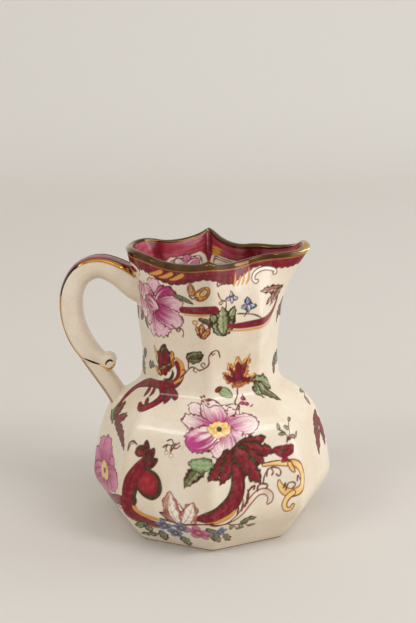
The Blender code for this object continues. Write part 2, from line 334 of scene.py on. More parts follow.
def eased(line, closed=False, steps=7):
    """A smooth line through points, each a tuple of any length."""
    line = [np.array(point, float) for point in points(line)]
    if closed:
        line = [line[-1], *line, line[0], line[1]]
    else:
        line = [2 * line[0] - line[1], *line, 2 * line[-1] - line[-2]]
    found = []
    for a, b, c, d in zip(line, line[1:], line[2:], line[3:]):
        found.extend(bezier((b, b + (c - a) / 6, c - (d - b) / 6, c), step / steps) for step in range(steps))
    if not closed:
        found.append(line[-2])
    return np.array(found)


def sampled(line):
    """(centre, outward, size) along a smooth curve through the line's points, in the plane Y = 0."""
    found = eased(line, steps=LINE_STEPS)
    samples = []
    for index, point in enumerate(found):
        along = found[min(index + 1, len(found) - 1)] - found[max(index - 1, 0)]
        outward = unit(np.array((along[1], 0.0, -along[0])))
        samples.append((np.array((point[0], 0.0, point[1])), outward, point[2]))
    return samples


def strap_section():
    """The handle's section as a closed outline of (across, out), each edge a little rounded."""
    corners = [*HALF_SECTION, *[(-across, out) for across, out in reversed(HALF_SECTION[1:])]]
    corners = [np.array(corner) for corner in corners]
    outline = []
    for before, at, after in zip([corners[-1], *corners], corners, [*corners[1:], corners[0]]):
        start, end = at + (before - at) * 0.28, at + (after - at) * 0.28
        outline.extend(bezier((start, at, end), step / 4) for step in range(5))
    return outline


def strap_rows(line):
    """The handle's section at every step of a line."""
    rows = []
    for centre, outward, size in sampled(line):
        half_width = np.array((0.0, size * HANDLE_WIDTH / 2, 0.0))
        half_depth = outward * (size * HANDLE_DEPTH / 2)
        rows.append([centre + half_width * across + half_depth * out for across, out in strap_section()])
    return rows


def solid_object(name, rows, ring=False):
    """A closed sweep through rows of points. In a ring, the last row meets the first."""
    bm = bmesh.new()
    rings = lathe(bm, rows)
    if ring:
        join_rings(bm, [rings[-1], rings[0]])
    else:
        bm.faces.new(rings[0])
        bm.faces.new(rings[-1])
    return mesh_object(name, bm)


def applied(obj):
    """The object with its modifiers made part of its mesh."""
    graph = bpy.context.evaluated_depsgraph_get()
    mesh = bpy.data.meshes.new_from_object(obj.evaluated_get(graph))
    obj.modifiers.clear()
    obj.data = mesh
    return obj


def combine(obj, operation, other):
    """A Boolean of the object with another, which is used up."""
    boolean = obj.modifiers.new("boolean", "BOOLEAN")
    boolean.operation = operation
    boolean.object = other
    applied(obj)
    bpy.data.objects.remove(other)


def make_handle(look):
    """Arch, spur and leg in one casting, its junctions softened by the glaze."""
    handle = solid_object("handle_glaze", strap_rows(ARCH_LINE))
    combine(handle, "UNION", solid_object("leg", strap_rows(LEG_LINE)))
    x, z = SPUR_CENTRE
    rows = []
    rounded = ((1.0, 0.55), (0.97, 0.75), (0.88, 0.93), (0.7, 1.0))
    for across, share in [*((-across, share) for across, share in rounded), *reversed(rounded)]:
        radius = SPUR_RADIUS * share
        rows.append([(x + radius * cos, across * SPUR_HALF, z + radius * sin) for cos, sin in circle(32)])
    combine(handle, "UNION", solid_object("spur", rows))
    core = solid_object("core", [row[::8] for row in (WALL_POINTS - WALL_NORMALS * HANDLE_ROOT)[::6]])
    combine(handle, "DIFFERENCE", core)
    remesh = handle.modifiers.new("remesh", "REMESH")
    remesh.mode = "VOXEL"
    remesh.voxel_size = HANDLE_VOXEL
    soften = handle.modifiers.new("soften", "SMOOTH")
    soften.iterations = 7
    soften.factor = 0.6
    return finished(applied(handle), look)


def paint_handle(handle):
    """Crimson over the arch's outer face, run out to a point on its back, and amber edges on the leg."""
    count = len(handle.data.vertices)
    places = np.zeros(count * 3, np.float32)
    handle.data.vertices.foreach_get("co", places)
    places = places.reshape(-1, 3).astype(float)
    colour, ink = np.zeros((count, 3)), np.zeros(count)
    for line, leg in ((ARCH_LINE, False), (LEG_LINE, True)):
        samples = sampled(line)
        centres = np.array([centre for centre, _, _ in samples])
        outward = np.array([out for _, out, _ in samples])
        sizes = np.array([size for _, _, size in samples])
        nearest = np.argmin(np.linalg.norm((places[:, None] - centres)[:, :, ::2], axis=2), axis=1)
        share = nearest / (len(samples) - 1)
        away = places - centres[nearest]
        out = (away * outward[nearest]).sum(axis=1) / (sizes[nearest] * HANDLE_DEPTH / 2)
        across = np.abs(places[:, 1]) / (sizes[nearest] * HANDLE_WIDTH / 2)
        close = np.linalg.norm(away[:, ::2], axis=1) < 0.6 * sizes[nearest] * HANDLE_DEPTH
        if leg:
            edge = np.clip(1.4 - np.abs(out - 0.66) / 0.13, 0, 1) * (across > 0.8) * close * (share > 0.1)
            colour, ink = blended(colour, AMBER_DEEP, edge), np.maximum(ink, edge * 0.8)
            continue
        narrowing = np.clip((0.66 - share) / 0.16, 0, 1)
        face = np.clip((out - 0.74) * 8, 0, 1) * np.clip((narrowing * 1.25 - across) * 8, 0, 1) * close
        streaks = grain(places[:, 1] * 1000, share * 40, 1.6, 3)
        wash = blended(blended(CRIMSON, CRIMSON_DEEP, (streaks - 0.5) * 2), CRIMSON_PALE, (0.4 - streaks) * 2)
        colour, ink = blended(colour, wash, (face > 0.01) * 1.0), np.maximum(ink, face)
    add_colours(handle.data, np.column_stack((colour, ink)))


def object_tree(obj):
    """The object's surface for ray casts."""
    faces = [tuple(face.vertices) for face in obj.data.polygons]
    return BVHTree.FromPolygons([vert.co.copy() for vert in obj.data.vertices], faces)


def make_mark(name, tree, path, side, look):
    """A painted gold stroke on one cheek of the handle. path holds (x, z, half width)."""
    rows = []
    path = eased(path, steps=6)
    for index, (x, z, half) in enumerate(path):
        hit, normal, _, _ = tree.ray_cast(Vector((x, side * 0.03, z)), Vector((0.0, -side, 0.0)))
        if hit is None:
            continue
        after, before = path[min(index + 1, len(path) - 1)], path[max(index - 1, 0)]
        along = Vector((after[0] - before[0], 0.0, after[1] - before[1])).normalized()
        flat_way = normal.cross(along).normalized()
        rows.append([hit + flat_way * (half * cos) + normal * (MARK_HEIGHT * sin) for cos, sin in circle(12)])
    return finished(solid_object(name, rows), look)


def wall_tree():
    """The outer surface for ray casts and nearest points."""
    grid = WALL_POINTS[::3, ::4]
    return BVHTree.FromPolygons(grid.reshape(-1, 3).tolist(), grid_quads(grid, True).tolist())


def make_fillet(name, tree, place, heading, look):
    """The slip that runs from the handle on to the wall, as a ring round the handle's end."""
    start, out, size = place
    side = Vector((0.0, 1.0, 0.0))
    heading, out = Vector(heading).normalized(), Vector(out).normalized()
    loops = [[] for _ in range(9)]
    for across, along in strap_section():
        spoke = side * (across * size * HANDLE_WIDTH / 2) + out * (along * size * HANDLE_DEPTH / 2)
        origin = Vector(start) + spoke
        hit, normal, _, _ = tree.ray_cast(origin, heading)
        if hit is None:
            hit, normal, _, _ = tree.find_nearest(origin + heading * 0.004)
        away = spoke - normal * spoke.dot(normal)
        away.normalize()
        high = hit - heading * SLIP_CLIMB - spoke.normalized() * 0.00012
        foot, foot_normal, _, _ = tree.find_nearest(hit + away * SLIP_SPREAD)
        for step in range(7):
            loops[step].append(bezier((high, hit + away * 0.0001, foot + foot_normal * 0.00004), step / 6))
        loops[7].append(foot - foot_normal * 0.0008 - away * 0.0006)
        loops[8].append(hit - heading * 0.0022 - spoke.normalized() * 0.0009)
    return finished(solid_object(name, loops, ring=True), look, 60)


def make_rim_gold(look):
    """The gold that wraps the rounded lip, thin as it runs out on both faces."""

    def outer(row, thick):
        return WALL_POINTS[row] + WALL_NORMALS[row] * thick

    def inner(row, thick):
        return WALL_POINTS[row] - INWARD[row] * (WALL + thick)

    rows = [outer(-6, FEATHER_EDGE), *(outer(row, RIM_FILM) for row in (-5, -4, -3, -2))]
    rows += [lip_row(math.pi * step / 22, RIM_FILM) for step in range(23)]
    rows += [inner(-2, RIM_FILM), inner(-3, RIM_FILM), inner(-4, FEATHER_EDGE)]
    rows += [inner(-4, -GOLD_BACK), inner(-1, -WALL / 2), outer(-6, -GOLD_BACK)]
    return finished(solid_object("rim_gold", [row[::2] for row in rows], ring=True), look)


def make_foot_line(look):
    """The thin dark line round the edge of the foot."""
    first = int(np.searchsorted(WALL_POINTS[:, 0, 2], FOOT_LINE_HEIGHT))
    rows = []
    for step, thick in ((0, 0.00002), (1, 0.0001), (2, 0.00002), (1, -GOLD_BACK)):
        rows.append((WALL_POINTS[first + step] + WALL_NORMALS[first + step] * thick)[::2])
    return finished(solid_object("foot_line", rows, ring=True), look)


def make_handle_line(name, side, look, dark):
    """A gold line along one edge of the handle's outer face, broad over the arch and thin below."""
    samples = sampled(ARCH_LINE)[LINE_STEPS + 3 : -2 * LINE_STEPS]
    across, out = GILDED_EDGE
    rows = []
    for index, (centre, outward, size) in enumerate(samples):
        share = index / (len(samples) - 1)
        radius = 0.0013 - 0.0009 * min(1.0, share / 0.45)
        lean = unit(outward * 0.75 + np.array((0.0, side, 0.0)) * 0.65)
        level = unit(outward * -0.65 + np.array((0.0, side, 0.0)) * 0.75)
        edge = centre + outward * ((out + 0.03) * size * HANDLE_DEPTH / 2)
        edge = edge + np.array((0.0, side * (across - 0.075) * size * HANDLE_WIDTH / 2, 0.0))
        rows.append([edge + level * (radius * cos) + lean * (0.32 * radius * sin) for cos, sin in circle(14)])
    piece = finished(solid_object(name, rows), look, 70)
    # painted shadow: faces further back and higher up take the dark gold as shade on that stretch
    piece.data.materials.append(dark)
    for face in piece.data.polygons:
        if face.center.x < SHADED_STRETCH[0] and face.center.z > SHADED_STRETCH[1]:
            face.material_index = 1
    return piece


# The printed pattern --------------------------------------------------------------------------------


def linear(red, green, blue):
    """A colour named by its screen values, 0 to 255, as linear light."""
    values = np.array((red, green, blue)) / 255
    return np.where(values <= 0.04045, values / 12.92, ((values + 0.055) / 1.055) ** 2.4)


CREAM, CREAM_DEEP, CREAM_PALE = linear(229, 216, 197), linear(222, 206, 182), linear(234, 224, 208)
CRIMSON, CRIMSON_DEEP, CRIMSON_PALE = linear(122, 18, 34), linear(84, 10, 22), linear(152, 42, 56)
MAGENTA, PINK, BLUSH = linear(164, 32, 98), linear(206, 124, 158), linear(238, 218, 212)
BROWN, UMBER, OLIVE = linear(104, 38, 24), linear(50, 22, 16), linear(62, 46, 18)
AMBER, AMBER_DEEP, YELLOW = linear(212, 150, 70), linear(160, 90, 36), linear(238, 206, 134)
GREEN, GREEN_PALE, OLIVE_GREEN = linear(116, 138, 90), linear(160, 178, 132), linear(104, 104, 62)
BLUE, BLUE_DEEP = linear(112, 144, 174), linear(54, 70, 98)
WHITE, SHELL = linear(242, 234, 218), linear(222, 196, 178)

# A leaf's body, shade and light.
RED_LEAF, CRIMSON_LEAF = (CRIMSON, OLIVE, CRIMSON_PALE), (CRIMSON, CRIMSON_DEEP, CRIMSON_PALE)
GREEN_LEAF, PALE_LEAF = (GREEN, OLIVE, GREEN_PALE), (GREEN_PALE, GREEN, GREEN_PALE)
DARK_LEAF = (linear(88, 92, 54), UMBER, linear(150, 156, 108))
BROWN_LEAF, GOLD_LEAF = (BROWN, UMBER, AMBER_DEEP), (AMBER, AMBER_DEEP, YELLOW)
POSY_LEAF = (linear(132, 134, 94), OLIVE, linear(178, 184, 142))
WHITE_LEAF = (WHITE, linear(178, 112, 92), WHITE)

LINE_WEIGHT = 1.25
MEAN_SIDE = 30.0
INK_SOFTNESS, LINE_SOFTNESS = 0.36, 0.34
RAG_SIZE = 1.1
PETAL_SHOULDER = 0.68
TOOTH_DEPTH = 0.42
LEAF_LINE, DOT_LINE = 0.34, 0.2
GRAIN_CELLS = 128
GRAIN = np.random.default_rng(11).random((GRAIN_CELLS, GRAIN_CELLS))


def grain(x, y, size, seed=0):
    """Smooth noise from 0 to 1, with features of that size."""
    u, v = x / size + 17.3 * seed, y / size + 5.1 * seed
    column, row = np.floor(u).astype(int), np.floor(v).astype(int)
    fu, fv = u - column, v - row
    fu, fv = fu * fu * (3 - 2 * fu), fv * fv * (3 - 2 * fv)
    steps = [(down, right) for down in (0, 1) for right in (0, 1)]
    corner = [GRAIN[(row + down) % GRAIN_CELLS, (column + right) % GRAIN_CELLS] for down, right in steps]
    low = corner[0] + (corner[1] - corner[0]) * fu
    return low + (corner[2] + (corner[3] - corner[2]) * fu - low) * fv


def blended(first, second, share):
    return first + (second - first) * np.clip(share, 0, 1)[..., None]


def flat(colour):
    return lambda *place: colour


def washed(colour, deep, pale, size=1.2):
    """Brush-laid colour, denser and thinner in streaks along the stroke."""

    def paint(s, q, x, y):
        streaks = grain(q * 2.2, s * 5.0, 0.7, 1) * 0.6 + grain(x, y, size * 2.2, 2) * 0.4
        shade = blended(colour, deep, (streaks - 0.52) * 2.0)
        return blended(shade, pale, (0.44 - streaks) * 2.2)

    return paint


CRIMSON_WASH = washed(CRIMSON, CRIMSON_DEEP, CRIMSON_PALE)
AMBER_WASH = washed(linear(232, 196, 126), AMBER, linear(244, 222, 168), 1.6)


def bordered(low_edge, high_edge, low_share, high_share, body=CRIMSON_WASH):
    """A wash with a painted border along each side of the stroke. None leaves that side plain."""

    def paint(s, q, x, y):
        wobble = (grain(x, y, 2.0, 5) - 0.5) * 0.3
        colour = body(s, q, x, y)
        for edge, share, across in ((low_edge, low_share, -q), (high_edge, high_share, q)):
            if edge is not None:
                colour = blended(colour, edge, (across + wobble - 1 + share) * 6)
        return colour

    return paint


def petal_wash(inner, outer, streak):
    """A petal shaded from its throat to its edge with fine streaks along it."""

    def paint(s, q, x, y):
        lines = grain(q * 6.5, s * 1.1, 1.0, 3)
        colour = blended(inner, outer, s * 2.0 - 0.5 + (lines - 0.5) * 1.2)
        return blended(colour, streak, (lines - 0.46) * 4.0 * np.clip(1.1 - s, 0, 1))

    return paint


def leaf_wash(body, shade, light):
    """A leaf lit along one half and shaded along its edges."""

    def paint(s, q, x, y):
        colour = blended(body, light, (q + 0.3) * 0.7 + (grain(x, y, 1.0, 4) - 0.5))
        return blended(colour, shade, (np.abs(q) - 0.56) * 3.6 + (grain(x, y, 0.9, 6) - 0.5) * 1.3)

    return paint


def petal_path(x, y, angle, length, width, throat=0.35, steps=16):
    """(x, y, half width) points of a petal that opens from its throat to a broad, round end."""
    turn = math.radians(angle)
    path = []
    for step in range(steps + 1):
        s = step / steps
        half = width * (throat + (1 - throat) * math.sin(math.pi / 2 * min(1.0, s / PETAL_SHOULDER)))
        if s > PETAL_SHOULDER:
            half *= math.sqrt(max(0.0, 1 - ((s - PETAL_SHOULDER) / 0.32) ** 2)) * 0.75 + 0.25
        reach = length * s * 0.9
        path.append((x + math.cos(turn) * reach, y + math.sin(turn) * reach, half))
    return path


# Petals, each (angle, length, width), and 1 where its tip is the dark end.
BLOOM = points("62 1 0.3 0, 128 1.15 0.36 0, 36 1 0.32 0, 92 1.08 0.42 0, 168 1.3 0.33 0, 3 1.42 0.38 0, "
    "-44 1.02 0.34 0, 268 0.86 0.46 0, 205 1.42 0.4 1")
SIDE_BLOOM = points("95 0.95 0.4 0, 150 1 0.42 0, 250 0.95 0.4 0, 205 1 0.4 0, 50 1 0.38 1, "
    "-72 0.9 0.38 0, 18 1.02 0.36 0, -28 1.05 0.34 0, 165 0.6 0.3 1")


class Print:
    """Colours laid on the unrolled wall."""

    def __init__(self, rises, widths):
        self.rises, self.widths = rises, widths
        self.colour = np.zeros((len(rises), ALL_COLUMNS, 3))
        self.ink = np.zeros((len(rises), ALL_COLUMNS))

    def area(self, side, low, high):
        """(rows, columns, x, y) of the grid within a box on a side's own plane."""
        rows = np.nonzero((self.rises >= low[1]) & (self.rises <= high[1]))[0]
        if not len(rows):
            return None
        widths = self.widths[rows, side][:, None]
        left = low[0] / (widths.min() if low[0] < 0 else widths.max())
        right = high[0] / (widths.min() if high[0] > 0 else widths.max())
        first = math.floor((side + 0.5 + left) * COLUMNS)
        last = math.ceil((side + 0.5 + right) * COLUMNS)
        turns = np.arange(first, min(last, first + ALL_COLUMNS - 1) + 1)
        x = (turns[None, :] / COLUMNS - side - 0.5) * widths
        y = np.broadcast_to(self.rises[rows][:, None], x.shape)
        return rows[:, None], turns[None, :] % ALL_COLUMNS, x, y

    def lay(self, rows, columns, share, colour):
        share = np.clip(share, 0, 1)
        ink = self.ink[rows, columns]
        total = share + ink * (1 - share)
        part = np.where(total > 0, share / np.maximum(total, 1e-6), 0)[..., None]
        self.colour[rows, columns] = self.colour[rows, columns] * (1 - part) + colour * part
        self.ink[rows, columns] = total

    def layers(self):
        return np.dstack((self.colour, self.ink))


class Side:
    """Brushes for one side of a print. A place is (x, y) mm from the foot of the side's middle line."""

    def __init__(self, print_, number):
        self.print_, self.number = print_, number

    def fill(self, grid, distance, colour, edge, edge_width, soft, strength=1.0):
        """Colour where distance is below 0, and an edge of edge_width round it."""
        if edge is not None:
            self.print_.lay(*grid, strength * (0.5 - (distance - edge_width) / soft), edge)
        self.print_.lay(*grid, strength * (0.5 - distance / soft), colour)

    def ribbon(self, path, paint, edge=None, edge_width=0.35, ragged=0.0, soft=INK_SOFTNESS, strength=1.0):
        """A band along (x, y, half width) points. paint(s, q, x, y) colours it by place along and across."""
        path = np.array(path, float)
        margin = path[:, 2].max() + 1.0
        low, high = path[:, :2].min(axis=0) - margin, path[:, :2].max(axis=0) + margin
        area = self.print_.area(self.number, low, high)
        if area is None:
            return
        *grid, x, y = area
        step = np.diff(path, axis=0)
        lengths = np.maximum(np.hypot(step[:, 0], step[:, 1]), 1e-6)
        best = np.full(x.shape, 1e9)
        along, across = np.zeros(x.shape), np.zeros(x.shape)
        behind = 0.0
        for (ax, ay, aw), (dx, dy, dw), length in zip(path[:-1], step, lengths):
            t = np.clip(((x - ax) * dx + (y - ay) * dy) / length**2, 0, 1)
            away_x, away_y = x - ax - dx * t, y - ay - dy * t
            reach = np.hypot(away_x, away_y)
            half = np.maximum(aw + dw * t, 1e-3)
            nearer = reach - half < best
            best = np.where(nearer, reach - half, best)
            along = np.where(nearer, behind + t * length, along)
            across = np.where(nearer, np.sign(dx * away_y - dy * away_x) * reach / half, across)
            behind += length
        if ragged:
            best = best + ragged * (grain(x, y, RAG_SIZE, self.number) - 0.5) * 2
        self.fill(grid, best, paint(along / behind, across, x, y), edge, edge_width, soft, strength)

    def patch(self, outline, paint, edge, edge_width, ragged=0.0):
        """A filled shape inside a smooth closed outline. paint(x, y, distance) colours it."""
        outline = eased(outline, closed=True)
        area = self.print_.area(self.number, outline.min(axis=0) - 1, outline.max(axis=0) + 1)
        if area is None:
            return
        *grid, x, y = area
        inside = np.zeros(x.shape, bool)
        reach = np.full(x.shape, 1e9)
        for (ax, ay), (bx, by) in zip(outline, np.roll(outline, -1, axis=0)):
            dx, dy = bx - ax, by - ay
            t = np.clip(((x - ax) * dx + (y - ay) * dy) / max(dx * dx + dy * dy, 1e-9), 0, 1)
            reach = np.minimum(reach, np.hypot(x - ax - dx * t, y - ay - dy * t))
            if abs(dy) > 1e-9:
                inside ^= ((ay > y) != (by > y)) & (x < (y - ay) * dx / dy + ax)
        distance = np.where(inside, -reach, reach)
        if ragged:
            distance = distance + ragged * (grain(x, y, RAG_SIZE, self.number) - 0.5) * 2
        self.fill(grid, distance, paint(x, y, distance), edge, edge_width, INK_SOFTNESS)

    def stroke(self, path, paint, edge=None, edge_width=0.35):
        """A smooth band in one colour or a wash."""
        self.ribbon(eased(path), paint if callable(paint) else flat(paint), edge, edge_width)

    def line(self, path, width=0.24, colour=BROWN, strength=1.0):
        """Fine drawn lines that swell and thin a little. Semicolons part the lines in a text."""
        for part in path.split(";") if isinstance(path, str) else [path]:
            smooth = eased(part)[:, :2]
            swell = width * LINE_WEIGHT * (1 + 0.2 * np.sin(np.arange(len(smooth)) * 0.5))
            self.ribbon(np.column_stack((smooth, swell)), flat(colour), soft=LINE_SOFTNESS, strength=strength)

    def dot(self, rows, colour, edge=BROWN):
        """Dots of (x, y, radius)."""
        for x, y, radius in points(rows):
            self.ribbon([(x, y, radius), (x + 0.01, y, radius)], flat(colour), edge, DOT_LINE)

    def flower(self, x, y, size, petals, inner, outer, streak, heart=True):
        """An open blossom. Its petals' lengths and widths are shares of its size."""
        for angle, length, width, dark_tip in petals:
            first, last = (outer, inner) if dark_tip else (inner, outer)
            path = petal_path(x, y, angle, length * size, width * size)
            self.ribbon(path, petal_wash(first, last, streak), BROWN, 0.6, 0.75)
            turn = math.radians(angle)
            for lean in (-0.3, 0.05, 0.35):
                way = np.array((math.cos(turn + lean), math.sin(turn + lean)))
                ends = [np.array((x, y)) + share * length * size * way for share in (0.3, 0.62)]
                self.line(ends, 0.14, streak, 0.55)
        if not heart:
            return
        hub = [(x + 0.4 * size * math.cos(t), y + 0.3 * size * math.sin(t)) for t in np.arange(0, 6.2, 0.7)]
        pollen = lambda px, py, distance: blended(YELLOW, AMBER, grain(px, py, 0.9, 7) * 1.5 - 0.4)
        self.patch(hub, pollen, BROWN, 0.35, 0.6)
        self.dot([(x, y + 0.01 * size, 0.085 * size)], OLIVE, UMBER)
        for step in range(9):
            turn = step * 0.7 + 0.2
            reach = 0.2 * size * (0.85 + 0.2 * math.sin(step * 2.3))
            place = (x + reach * math.cos(turn) * 1.15, y + reach * math.sin(turn) * 0.8)
            self.dot([(*place, 0.16)], AMBER_DEEP, None)

    def posy(self, rows, colour, deep):
        """Small five-petalled blossoms of (x, y, size)."""
        for x, y, size in points(rows):
            for angle in (90, 162, 234, 306, 18):
                path = petal_path(x, y, angle, size, 0.36 * size, 0.5, 8)
                self.ribbon(path, petal_wash(deep, colour, deep), BROWN, 0.22)
            self.dot([(x, y, 0.2 * size)], AMBER)

    def leaf(self, rows, colours, bend=0.0, lobes=5, edge=BROWN, veins=True):
        """Toothed leaves with midribs. rows holds (base x, base y, tip x, tip y, width) for each."""
        for x0, y0, x1, y1, width in points(rows):
            dx, dy = x1 - x0, y1 - y0
            middle = ((x0 + x1) / 2 - dy * bend, (y0 + y1) / 2 + dx * bend)
            curve = [np.array(point, float) for point in ((x0, y0), middle, (x1, y1))]
            steps = 8 * max(lobes, 2)
            path = []
            for step in range(steps + 1):
                s = step / steps
                half = width * (4 * s * (1 - s)) ** 0.6 * (1.25 - 0.5 * s)
                half *= 1 - TOOTH_DEPTH * ((lobes * s) % 1.0) if lobes else 1
                path.append((*bezier(curve, s), max(half, 0.12)))
            self.ribbon(path, leaf_wash(*colours), edge, LEAF_LINE, 0.5 if lobes else 0.0)
            if not veins:
                continue
            shade = colours[1]
            self.line([place[:2] for place in path][:: max(1, len(path) // 6)], 0.16, shade, 0.8)
            across = (-dy / math.hypot(dx, dy), dx / math.hypot(dx, dy))
            for step in range(1, 4):
                x, y, half = path[step * steps // 5]
                for hand in (-1, 1):
                    out = hand * half * 0.7
                    end = (x + dx * 0.13 + out * across[0], y + dy * 0.13 + out * across[1])
                    self.line(((x, y), end), 0.11, shade, 0.6)

    def fan(self, base, lobes, colours, edge=None):
        """A broad leaf of several lobes from one base. Each lobe is (tip x, tip y, width)."""
        for lobe in points(lobes):
            self.leaf([(*points(base)[0], *lobe)], colours, lobes=4, edge=edge)

    def sprig(self, path, size):
        """A fine stem with small leaves on alternate hands."""
        self.line(path)
        path = eased(path)
        for number, index in enumerate(range(4, len(path), 8)):
            x, y = path[index][:2]
            dx, dy = path[index][:2] - path[index - 1][:2]
            hand = 1 if number % 2 else -1
            length = max(math.hypot(dx, dy), 1e-6)
            tip = (x + (dx * 0.7 - hand * dy) / length * size, y + (dy * 0.7 + hand * dx) / length * size)
            self.leaf([(x, y, *tip, size * 0.26)], GREEN_LEAF, lobes=0, veins=False)

    def scroll(self, path, low_edge=OLIVE, high_edge=OLIVE, low_share=0.3, high_share=0.3):
        """A broad crimson scroll with painted borders."""
        self.stroke(path, bordered(low_edge, high_edge, low_share, high_share), UMBER, 0.18)

    def gilt_scroll(self, path):
        """An amber scroll with a brown outline and a pale middle."""
        self.stroke(path, bordered(AMBER, AMBER_DEEP, 0.25, 0.3, AMBER_WASH), BROWN, 0.42)


def paint_belly(left, right):
    """The main group on two neighbouring sides, left and right of the arris between them."""

    def fruit(x, y, depth):
        near = 1.1 - np.hypot(x + 9.5, y - 38) / 5
        lit = blended(CRIMSON, linear(160, 38, 48), near + grain(x, y, 1.6, 3) * 0.5)
        return blended(lit, OLIVE, (depth + 1.5 + (x + 9) * 0.12 - (y - 37) * 0.08) * 1.4)

    def urn(x, y, depth):
        wash = blended(CRIMSON, CRIMSON_PALE, grain(x, y, 1.0, 2) - 0.3)
        return blended(wash, OLIVE, 1.6 - np.abs(y - 50.3) * 1.6 - np.abs(x - 14.5) * 0.3)

    # crimson scroll that rises from the foot on the left and curls over a fruit
    left.patch("-15.6 38, -13 42.4, -8 43.6, -4 41.4, -2.2 37, -3 33, -6.6 30.4, -11 31.6, -14 34.6",
        fruit, UMBER, 0.25)
    left.scroll("0 17.5 0.6, -6 17 2.2, -12 18.5 3.1, -17.2 23 3.8, -18.4 30 3.3, -17.2 37 3.2, "
        "-13.6 43 2.8, -10.4 47.5 2.2, -10.8 51 2.1, -13.2 51.6 2.2, -14.4 50.4 1.6", None, None)
    left.stroke("-15.5 28 0.5, -15 25 0.8, -11 22.3 0.9, -6 21.2 0.8, -2.5 20.6 0.4", AMBER, AMBER_DEEP, 0.2)
    left.stroke("-18 18 0.4, -13 14.6 0.6, -8 13.8 0.5, -4 14.5 0.3", AMBER_DEEP)
    left.stroke("-15.4 27 0.7, -15.3 31 1, -14.2 34.4 0.7", OLIVE)
    left.leaf("-10.6 49 -11 56 1.5, -9.6 47 -7.2 53 1.5, -11 44 -5.2 48.6 1.8",
        (CRIMSON_DEEP, OLIVE, CRIMSON), 0, 0, OLIVE, veins=False)
    left.line("-15.4 51.6, -13.4 53.2, -11.6 52.6", 0.4, OLIVE)
    left.line("-15.8 50, -14 48.7, -12.4 49.2", 0.35, OLIVE)
    left.line("-20 50.5, -19.6 53.5, -17.5 55, -15.6 53.8", 0.35)
    left.line("-19.4 51.5, -18.6 53.4, -17.2 54", 0.15)
    # fine sprig with two berries
    left.line("-3 54.2, -1 55.6, 1 55.4, 3 56.6; -1.4 57.2, 0.6 58, 1.8 56.4; 1 53, 2.2 55.2, 4.4 57; "
        "2 54.4, 3.6 54.6, 4.8 55.8; -1 55.6, -1.6 54, -1.2 52.6; 1 55, 0.6 53, 1 51.6", 0.25)
    left.dot("-1.2 52 0.6, 1.1 51 0.7", WHITE)
    # green leaves under the open flower over the arris
    left.leaf("19.5 51 8.6 38.2 3.2", (OLIVE_GREEN, UMBER, linear(170, 172, 128)), -0.12)
    left.leaf("20 49.6 10 49 3", PALE_LEAF, 0.12, 4, OLIVE)
    right.flower(-13.5, 64.2, 12.6, BLOOM, linear(190, 70, 132), BLUSH, MAGENTA)
    # broad crimson leaf and the scroll that hangs from it
    right.fan("-8 54.5", "-22.4 42.5 3.4, -17 40.4 3.2, 6.6 57.4 3, 9.8 51 3.6, 4.8 46.4 3.2, "
        "-6 40.5 3.2, 1.6 38.2 4.2", RED_LEAF, UMBER)
    right.scroll("-9.5 47 1.6, -8.8 43 2.7, -9 38 3.3, -11.5 32.5 3.6, -17 28.4 3.4, -23 26.4 2.6, "
        "-29 25 0.9", OLIVE, UMBER, 0.34, 0.26)
    right.stroke("-24 23.6 0.4, -18 24.4 0.8, -13.5 26 0.8, -11 28 0.4", AMBER, BROWN, 0.2)
    right.line("-22 22.8, -18 22.2, -14 22.6, -10 25", 0.4)
    # pale frond
    right.stroke("-12 23.6 0.3, -8.4 26.2 0.7, -4 30.6 0.9, 0 33.8 0.9, 3.6 34 1, 5.8 32.2 1.1, "
        "5.9 30 0.9, 4.7 28.6 0.3", washed(SHELL, linear(190, 130, 108), WHITE), BROWN, 0.55)
    right.line("-8 27.5, -7 31, -7.4 34; -5 30.5, -4.8 34, -3 36.6, -1 37.4, -1.6 36; 0 34.8, 0.6 37, "
        "3 37.6, 5 36.6, 4.4 35.4; -6.4 29, -4.2 33.4, -4.4 36; -10 26, -9.4 29, -9.8 31", 0.34)
    # amber scroll on the right
    right.gilt_scroll("4 45.6 0.5, 9 45.6 0.8, 14 44.8 1.1, 19 44 1.4, 22.6 41 1.8, 23.8 36.5 2, "
        "22 32.6 1.7, 17.5 31 1.6, 13.2 32.4 1.6, 11 35.2 1, 10.6 37.4 0.4")
    right.gilt_scroll("17 31 1.1, 14.4 29.4 1.1, 12.6 26.6 1, 13.4 24 0.9, 15.6 23.6 0.7, 16.8 25.4 0.5")
    right.gilt_scroll("16.5 44.2 0.9, 17.4 42 0.9, 18.2 40.6 0.4")
    right.line("5 40.5, 5.6 43, 8 44, 11 43, 11.8 41, 10.8 39.6, 9.6 40.6; 7.4 40.6, 8.2 41.8, "
        "7.6 43.4; 14 33.6, 15 35.6, 17.4 35.8, 18.4 34.4, 17.2 33.4; 3 38, 4 41, 6 43.6; 12.4 34, "
        "13.6 36, 13.6 32.8; 19.4 36, 20 38.4, 21.2 36.2", 0.28)
    # crimson urn with sprigs
    right.patch("10 52.4, 19 52.2, 19.2 49.6, 17.4 48, 15.8 47.2, 16.2 45.4, 12.6 45.4, 13.2 47.4, "
        "11.2 48.4, 9.8 50", urn, UMBER, 0.15, ragged=0.25)
    right.sprig("16.4 53.6, 17 56, 15.4 58.4, 13.4 60", 2.2)
    right.sprig("16.6 54, 18.6 57, 19 60, 21 63", 2.4)
    right.sprig("18.6 55.6, 21 56, 24 54", 2.4)
